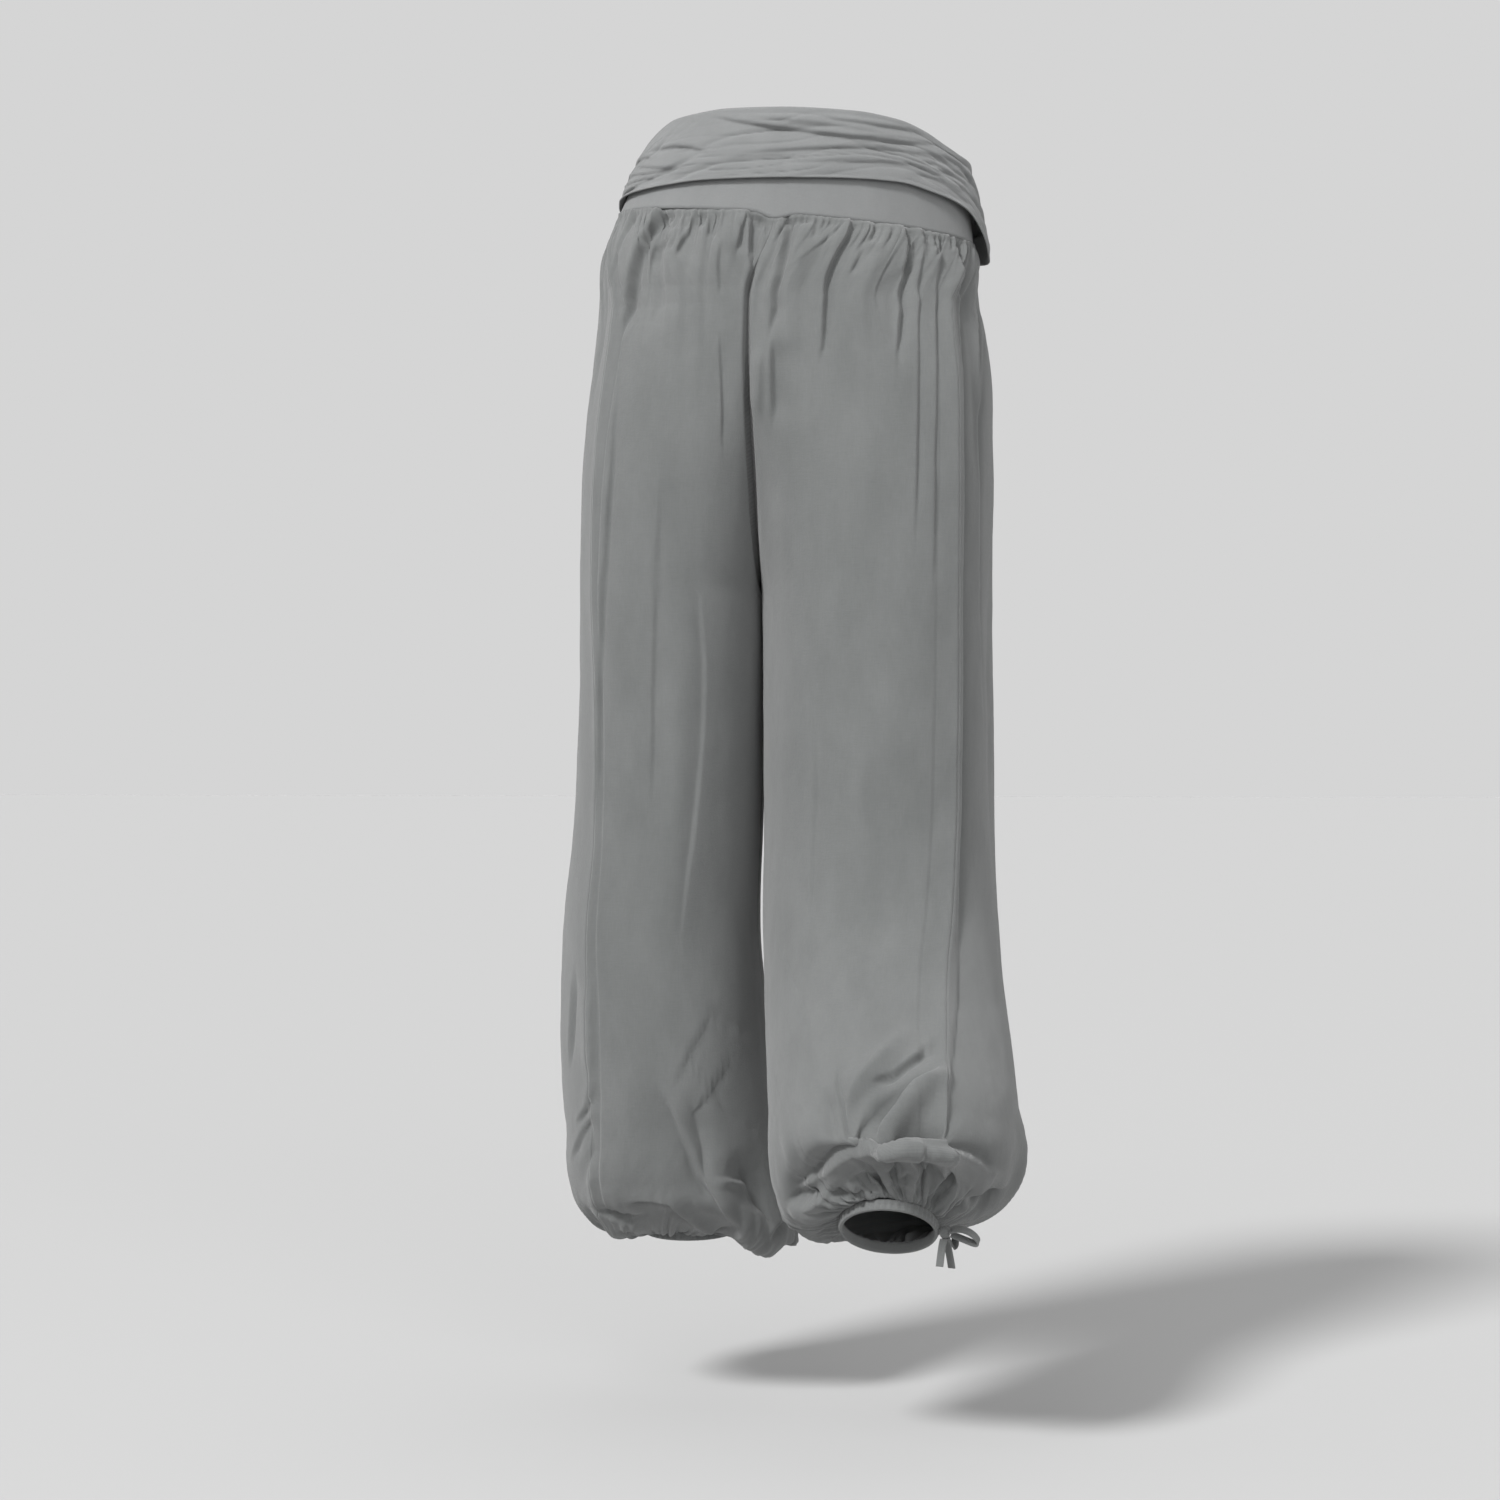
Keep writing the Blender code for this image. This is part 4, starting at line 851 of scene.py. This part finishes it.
def waist_ring(around, z, out):
    """Points of the waist at angles in degrees and heights, moved out from the body."""
    angle = np.radians(around)
    half_width = np.where(np.sin(angle) > 0, SECTIONS[RIGHT][0].outer, SECTIONS[LEFT][0].outer)
    seam = seam_height(half_width * np.sin(angle), -WAIST_FRONT * np.cos(angle))
    rise = np.maximum(z - seam, 0)
    middle = (WAIST_BACK + WAIST_FRONT) / 2
    half_depth = (WAIST_FRONT - WAIST_BACK) / 2 - BAND_DEPTH_TAPER * rise + out
    half_width = half_width - BAND_TAPER * rise + out
    return together(BAND_LEAN * rise + half_width * np.sin(angle), middle - half_depth * np.cos(angle), z)


def wrinkle_height(around, z):
    """Height of all wrinkles of the turned-down layer at its points."""
    height = np.zeros_like(z)
    for wrinkle in WRINKLES:
        height += crease_height(wrinkle, AROUND_RADIUS * around, z, RIGHT)
    return height + 0.4 * lattice_noise(around / 9, z / 7 + around / 30, 12)


def flow_lines(around, fall):
    """Depth of the long wrinkles that run along the turned-down layer, from its end to its fold."""
    drift = 0.9 * lattice_noise(around / 60, fall * 1.5, 14)
    broad = lattice_noise(around / 34 + 7, fall * 6 + drift, 15)
    fine = lattice_noise(around / 21 + 3, fall * 11 + 1.4 * drift, 16)
    strength = 0.55 + 0.45 * lattice_noise(around / 25, fall * 3, 17)
    return -strength * (2 * bell(broad / 0.12) + 1.3 * bell(fine / 0.14))


def all_round(height, around, *rest):
    """A height over the band, blended so that it meets itself at centre front."""
    share = smooth((around - 130) / 50)
    return (1 - share) * height(around, *rest) + share * height(around - 360, *rest)


def make_waistband(material):
    """Jersey band from the waist seam up to its top fold and down again outside."""
    around = np.linspace(-180, 180, BAND_COLUMNS + 1)[:-1]
    kernel = np.hanning(15) / np.hanning(15).sum()
    profiles = [np.interp(around, BAND[:, 0], BAND[:, column]) for column in (1, 2, 3)]
    top, edge, stand_off = [np.convolve(np.concatenate((row[-7:], row, row[:7])), kernel, "valid")
                            for row in profiles]
    seam = waist_ring(around, np.full_like(around, -200), 0)
    bottom = seam_height(seam[:, 0], seam[:, 1])
    straight = top - FOLD_RADIUS
    inner = -KNIT_WALL / 2
    rows, down = [], []
    for share in np.linspace(0, 1, INNER_ROWS + 1):
        z = bottom + (straight - bottom) * share
        ruck = RUCK * lattice_noise(around / 2.6, z / 22 + around / 40, 13) * (1 - 0.5 * share)
        ends = smooth(share / 0.12) * (1 - smooth((share - 0.85) / 0.15))
        rows.append(waist_ring(around, z, inner + ruck * ends))
        down.append(z - bottom)
    for turn in np.linspace(0, math.pi, TURN_ROWS + 1)[1:]:
        rows.append(waist_ring(around, straight + FOLD_RADIUS * math.sin(turn),
                               inner + FOLD_RADIUS * (1 - math.cos(turn))))
        down.append(straight - bottom + FOLD_RADIUS * turn)
    start = inner + 2 * FOLD_RADIUS
    for fall in np.linspace(0, 1, OUTER_ROWS + 1)[1:]:
        z = straight + (edge - straight) * fall
        out = start + (stand_off - start) * smooth(fall) + OUTER_BELLY * math.sin(math.pi * fall)
        out = out + EDGE_ROLL * bell((z - edge) / EDGE_ROLL_WIDTH)
        ends = smooth(fall / 0.12) * smooth((1 - fall) / 0.12 + 0.3)
        wrinkled = all_round(wrinkle_height, around, z) + all_round(flow_lines, around, fall)
        rows.append(waist_ring(around, z, out + ends * wrinkled))
        down.append(straight - bottom + FOLD_RADIUS * math.pi + (straight - edge) * fall)
    points = np.array(rows)
    flat = together(around * AROUND_RADIUS, np.array(down))
    piece = add_grid("cloth_waistband", points, flat, material, closed=True)
    thicken(piece, KNIT_WALL, 0)
    return piece


# ---- cuffs and cuff tie
CUFF_HEIGHT = 9
CUFF_WALL = 2
CUFF_SWELL = 0.9
CUFF_LAP = 0.8
CUFF_COLUMNS = 240
CUFF_ROUND = 250
RIBS, RIB_HEIGHT, CUFF_STITCH = 48, 0.7, 0.45
TAPE_WIDTH, TAPE = 7, 1.6
TAPE_SQUARENESS, TAPE_GROOVE = 0.6, 0.35
Loop = namedtuple("Loop", "name reach eye heading sag")
LOOPS = [Loop("tie_loop_back", 23, 15, -12, 6), Loop("tie_loop_front", 21, 10, 78, 14)]
Tail = namedtuple("Tail", "name length heading spread")
TAILS = [Tail("tie_tail_back", 21, -120, 6), Tail("tie_tail_front", 24, 60, 9)]
KNOT_HALF = (4.6, 4.6, 5)
KNOT_DROP = 7.5
KNOT_GAP = 0.3
LOOP_SEAT = 0.6
LOOP_TILT = math.radians(38)
LOOP_TURN = 0.86 * math.pi
UP = (0, 0, 1)


def cuff_frame(side):
    """Rim points of the leg's end, the ring's middle, and the way down the ankle."""
    points = ring(side, LAST_ROW[side])[0]
    middle = (points.max(axis=0) + points.min(axis=0)) / 2
    down = unit(np.cross(points[DENSE // 4] - middle, points[DENSE // 2] - middle) * side)
    return points, middle, down * (-1 if down[2] > 0 else 1)


def make_cuff(side, material):
    """Narrow elastic band in which a leg ends, ribbed by its gathers, as one closed wall."""
    points, middle, down = cuff_frame(side)
    picks = np.linspace(0, DENSE - 1, CUFF_COLUMNS + 1)[:-1]
    rim = points_at(picks, np.arange(DENSE), points)
    away = unit(rim - middle)
    place = np.arange(CUFF_COLUMNS) / CUFF_COLUMNS
    rib = np.cos(math.tau * RIBS * (place + 0.004 * np.sin(math.tau * 5 * place)))
    rows, lengths = [], []
    profile = [(share, 1) for share in np.linspace(0, 1, 11)]
    profile += [(share, -1) for share in np.linspace(1, 0, 5)]
    for share, face in profile:
        belly = math.sin(math.pi * share)
        out = np.full(CUFF_COLUMNS, -CUFF_WALL)
        if face > 0:
            stitch = CUFF_STITCH * bell((share - 0.5) / 0.07)
            out = CUFF_SWELL * belly ** 0.6 + RIB_HEIGHT * rib * belly - stitch
        rows.append(rim + down * (share * CUFF_HEIGHT - CUFF_LAP) + away * np.reshape(out, (-1, 1)))
        lengths.append(share * CUFF_HEIGHT * face)
    rows.append(rows[0])
    lengths.append(0)
    points = np.array(rows)
    flat = together(place * CUFF_ROUND, np.reshape(lengths, (-1, 1)))
    return add_grid(f"cloth_cuff_{SIDES[side]}", points, flat, material, side == RIGHT, closed=True)


def sweep_tape(name, path, width_way, material):
    """Flat tape with rounded edges swept along a path, its width along width_way."""
    along = unit(np.gradient(path, axis=0))
    flat = unit(width_way - along * (along @ width_way)[:, None])
    face = np.cross(along, flat)
    turn = np.linspace(0, math.tau, 25)[:-1]
    across = np.sign(np.cos(turn)) * np.abs(np.cos(turn)) ** TAPE_SQUARENESS * TAPE_WIDTH / 2
    thick = np.sign(np.sin(turn)) * np.abs(np.sin(turn)) ** TAPE_SQUARENESS * TAPE / 2
    thick = thick * (1 - TAPE_GROOVE * bell(across))
    rows = (path[:, None, :] + flat[:, None, :] * across[None, :, None]
            + face[:, None, :] * thick[None, :, None])
    caps = [np.repeat(path[end][None, None, :], len(turn), axis=1) for end in (0, -1)]
    rows = np.concatenate((caps[0], rows, caps[1]))
    uv = together(across, lengths_along(rows.mean(axis=1))[:, None])
    return add_grid(f"cloth_{name}", rows, uv, material, closed=True)


def compass(heading):
    """Level direction at an angle in degrees from the wearer's right towards the front."""
    heading = math.radians(heading)
    return np.array((math.cos(heading), math.sin(heading), 0))


def make_tie(material):
    """Knot, two loops and two tails of the tie on the right cuff."""
    points, middle, down = cuff_frame(RIGHT)
    rim = points[DENSE // 2]
    out = unit(rim - middle)
    half = np.array(KNOT_HALF)
    centre = rim + down * KNOT_DROP + out * (CUFF_SWELL + KNOT_GAP + half[0])
    pieces = {"tie_knot": make_knot(centre, half, material)}
    angle = np.linspace(-LOOP_TURN, LOOP_TURN, 61)
    forward = np.cos(angle)
    forward = (forward - forward[0]) / (forward.max() - forward[0])
    for loop in LOOPS:
        way = compass(loop.heading)
        start = half[0] + KNOT_GAP + TAPE / 2 - LOOP_SEAT
        rise = loop.eye / 2 * np.sin(angle) * (0.55 + 0.45 * forward)
        rise_way = np.multiply(UP, math.cos(LOOP_TILT)) + np.cross(way, UP) * math.sin(LOOP_TILT)
        path = (centre + way * (start + loop.reach * forward)[:, None] + np.outer(rise, rise_way)
                - np.outer(loop.sag * forward ** 2, UP))
        pieces[loop.name] = sweep_tape(loop.name, path, np.cross(way, rise_way), material)
    share = np.linspace(0, 1, 31)
    for tail in TAILS:
        way = compass(tail.heading)
        path = (centre + np.outer(1 + tail.spread * share ** 0.7, way)
                - np.outer(half[2] + 2 * KNOT_GAP + tail.length * share, UP))
        pieces[tail.name] = sweep_tape(tail.name, path, np.cross(way, UP), material)
    return pieces


def make_knot(centre, half, material):
    """Small knot, wrapped by the tape in slanting turns."""
    polar = np.linspace(0, math.pi, 33)[:, None]
    angle = np.linspace(0, math.tau, 49)[None, :-1]
    radius = np.sin(polar) * (0.97 + 0.07 * np.cos(6 * polar + angle) * np.sin(polar))
    points = centre + half * together(radius * np.cos(angle), radius * np.sin(angle), np.cos(polar))
    flat = together(angle * half[0], polar * half[2])
    return add_grid("cloth_tie_knot", points, flat, material, closed=True, flip=True)


# ---- cloth, light and camera
def set_inputs(node, values):
    """Set a node's sockets by name."""
    for socket, value in values.items():
        node.inputs[socket].default_value = value


def cloth_material(name, dark, light, streak, weave, crepe):
    """Grey cloth: yarn streaks and mottling in its colour, weave and crepe in its surface."""
    material = bpy.data.materials.new(name)
    material.use_nodes = True
    tree = material.node_tree
    nodes, links = tree.nodes, tree.links
    shader = nodes["Principled BSDF"]
    set_inputs(shader, {"Roughness": 0.88, "Specular IOR Level": 0.22, "Sheen Weight": 0.22,
                        "Sheen Roughness": 0.55})
    place = nodes.new("ShaderNodeTexCoord")

    def noise(stretch, scale, detail=3, roughness=0.6):
        mapping = nodes.new("ShaderNodeMapping")
        set_inputs(mapping, {"Scale": (*stretch, 1)})
        links.new(place.outputs["UV"], mapping.inputs["Vector"])
        texture = nodes.new("ShaderNodeTexNoise")
        set_inputs(texture, {"Scale": scale, "Detail": detail, "Roughness": roughness})
        links.new(mapping.outputs["Vector"], texture.inputs["Vector"])
        return texture.outputs["Fac"]

    def add(first, second, amount):
        node = nodes.new("ShaderNodeMath")
        node.operation = "MULTIPLY_ADD"
        links.new(second, node.inputs[0])
        node.inputs[1].default_value = amount
        links.new(first, node.inputs[2])
        return node.outputs[0]

    warp = noise((1, streak), scale=900, detail=2)
    weft = noise((streak, 1), scale=900, detail=2)
    mottle = noise((1, 0.35), scale=26)
    colour = add(add(mottle, warp, 0.35), weft, 0.35)
    ramp = nodes.new("ShaderNodeValToRGB")
    ramp.color_ramp.elements[0].color = (*dark, 1)
    ramp.color_ramp.elements[1].color = (*light, 1)
    spread = nodes.new("ShaderNodeMapRange")
    set_inputs(spread, {"From Min": 0.5, "From Max": 1.2})
    links.new(colour, spread.inputs["Value"])
    links.new(spread.outputs["Result"], ramp.inputs["Fac"])
    links.new(ramp.outputs["Color"], shader.inputs["Base Color"])

    height = noise((1, 1), scale=520, roughness=0.7)
    for direction in ("X", "Y"):
        thread = nodes.new("ShaderNodeTexWave")
        thread.bands_direction = direction
        set_inputs(thread, {"Scale": weave, "Distortion": 0.6, "Detail Scale": 3})
        links.new(place.outputs["UV"], thread.inputs["Vector"])
        height = add(height, thread.outputs["Fac"], 0.30)
    height = add(height, noise((1, 0.35), scale=150), crepe)
    bump = nodes.new("ShaderNodeBump")
    set_inputs(bump, {"Strength": 0.55, "Distance": 0.0006})
    links.new(height, bump.inputs["Height"])
    links.new(bump.outputs["Normal"], shader.inputs["Normal"])
    return material


def soft_sun(name, strength, turn, lift, angle):
    """Distant soft light: its turn about Z, its lift over the horizon and how wide it is, in degrees."""
    light = bpy.data.lights.new(name, "SUN")
    light.energy = strength
    light.angle = math.radians(angle)
    add_object(name, light).rotation_euler = (math.radians(90 - lift), 0, math.radians(turn))


FLOOR_LEVEL, FLOOR_SIZE = -1.014, 80
BACKGROUND = 0.665
FLOOR_ALBEDO = 0.446
PANEL_POWER, PANEL_SIZE = 7, 0.9
PANEL_PLACE = (-0.3, -1.6, 0.9)
PANEL_TILT, PANEL_TURN = math.radians(60), math.radians(-10)
# The camera looks level, from the photograph's angle, a little to the left of the origin.
CAMERA_TURN = math.radians(8)
CAMERA_SIDE, CAMERA_DISTANCE, CAMERA_LEVEL = -0.034, 3, -0.444
LENS = 84.24


def make_stage():
    """Pale floor, even surround, two distant lights, a soft panel and the camera."""
    bpy.ops.mesh.primitive_plane_add(size=FLOOR_SIZE, location=(0, 0, FLOOR_LEVEL))
    floor = bpy.context.object
    floor.name = "floor"
    material = bpy.data.materials.new("pale_floor")
    material.use_nodes = True
    set_inputs(material.node_tree.nodes["Principled BSDF"],
               {"Base Color": (*[FLOOR_ALBEDO] * 3, 1), "Roughness": 1, "Specular IOR Level": 0})
    floor.data.materials.append(material)
    world = bpy.data.worlds.new("studio")
    bpy.context.scene.world = world
    world.use_nodes = True
    set_inputs(world.node_tree.nodes["Background"], {"Color": (*[BACKGROUND] * 3, 1)})
    soft_sun("key", strength=3.7, turn=-27, lift=40, angle=12)
    soft_sun("fill", strength=1.4, turn=20, lift=10, angle=40)
    panel = bpy.data.lights.new("panel", "AREA")
    panel.energy = PANEL_POWER
    panel.shape = "DISK"
    panel.size = PANEL_SIZE
    lamp = add_object("panel", panel)
    lamp.location = PANEL_PLACE
    lamp.rotation_euler = (PANEL_TILT, 0, PANEL_TURN)
    camera = add_object("camera", bpy.data.cameras.new("camera"))
    sine, cosine = math.sin(CAMERA_TURN), math.cos(CAMERA_TURN)
    camera.location = (CAMERA_SIDE * cosine + CAMERA_DISTANCE * sine,
                       CAMERA_SIDE * sine - CAMERA_DISTANCE * cosine, CAMERA_LEVEL)
    camera.rotation_euler = (math.radians(90), 0, CAMERA_TURN)
    camera.data.sensor_width = 36
    camera.data.lens = LENS
    bpy.context.scene.camera = camera
    bpy.context.scene.view_settings.view_transform = "Standard"


WOVEN_DARK, WOVEN_LIGHT = (0.090, 0.094, 0.093), (0.126, 0.130, 0.129)
JERSEY_DARK, JERSEY_LIGHT = (0.138, 0.142, 0.142), (0.164, 0.168, 0.168)
woven = cloth_material("grey_woven_cloth", WOVEN_DARK, WOVEN_LIGHT, streak=0.10, weave=420, crepe=0.9)
jersey = cloth_material("grey_jersey_cloth", JERSEY_DARK, JERSEY_LIGHT, streak=0.20, weave=520, crepe=0.4)
pieces = make_legs(woven)
pieces["waistband"] = make_waistband(jersey)
for side in SIDES:
    pieces[f"cuff_{SIDES[side]}"] = make_cuff(side, woven)
tie_pieces = make_tie(woven)
pieces.update(tie_pieces)
for node, piece in pieces.items():
    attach(piece, "root")
    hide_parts(node)
make_stage()
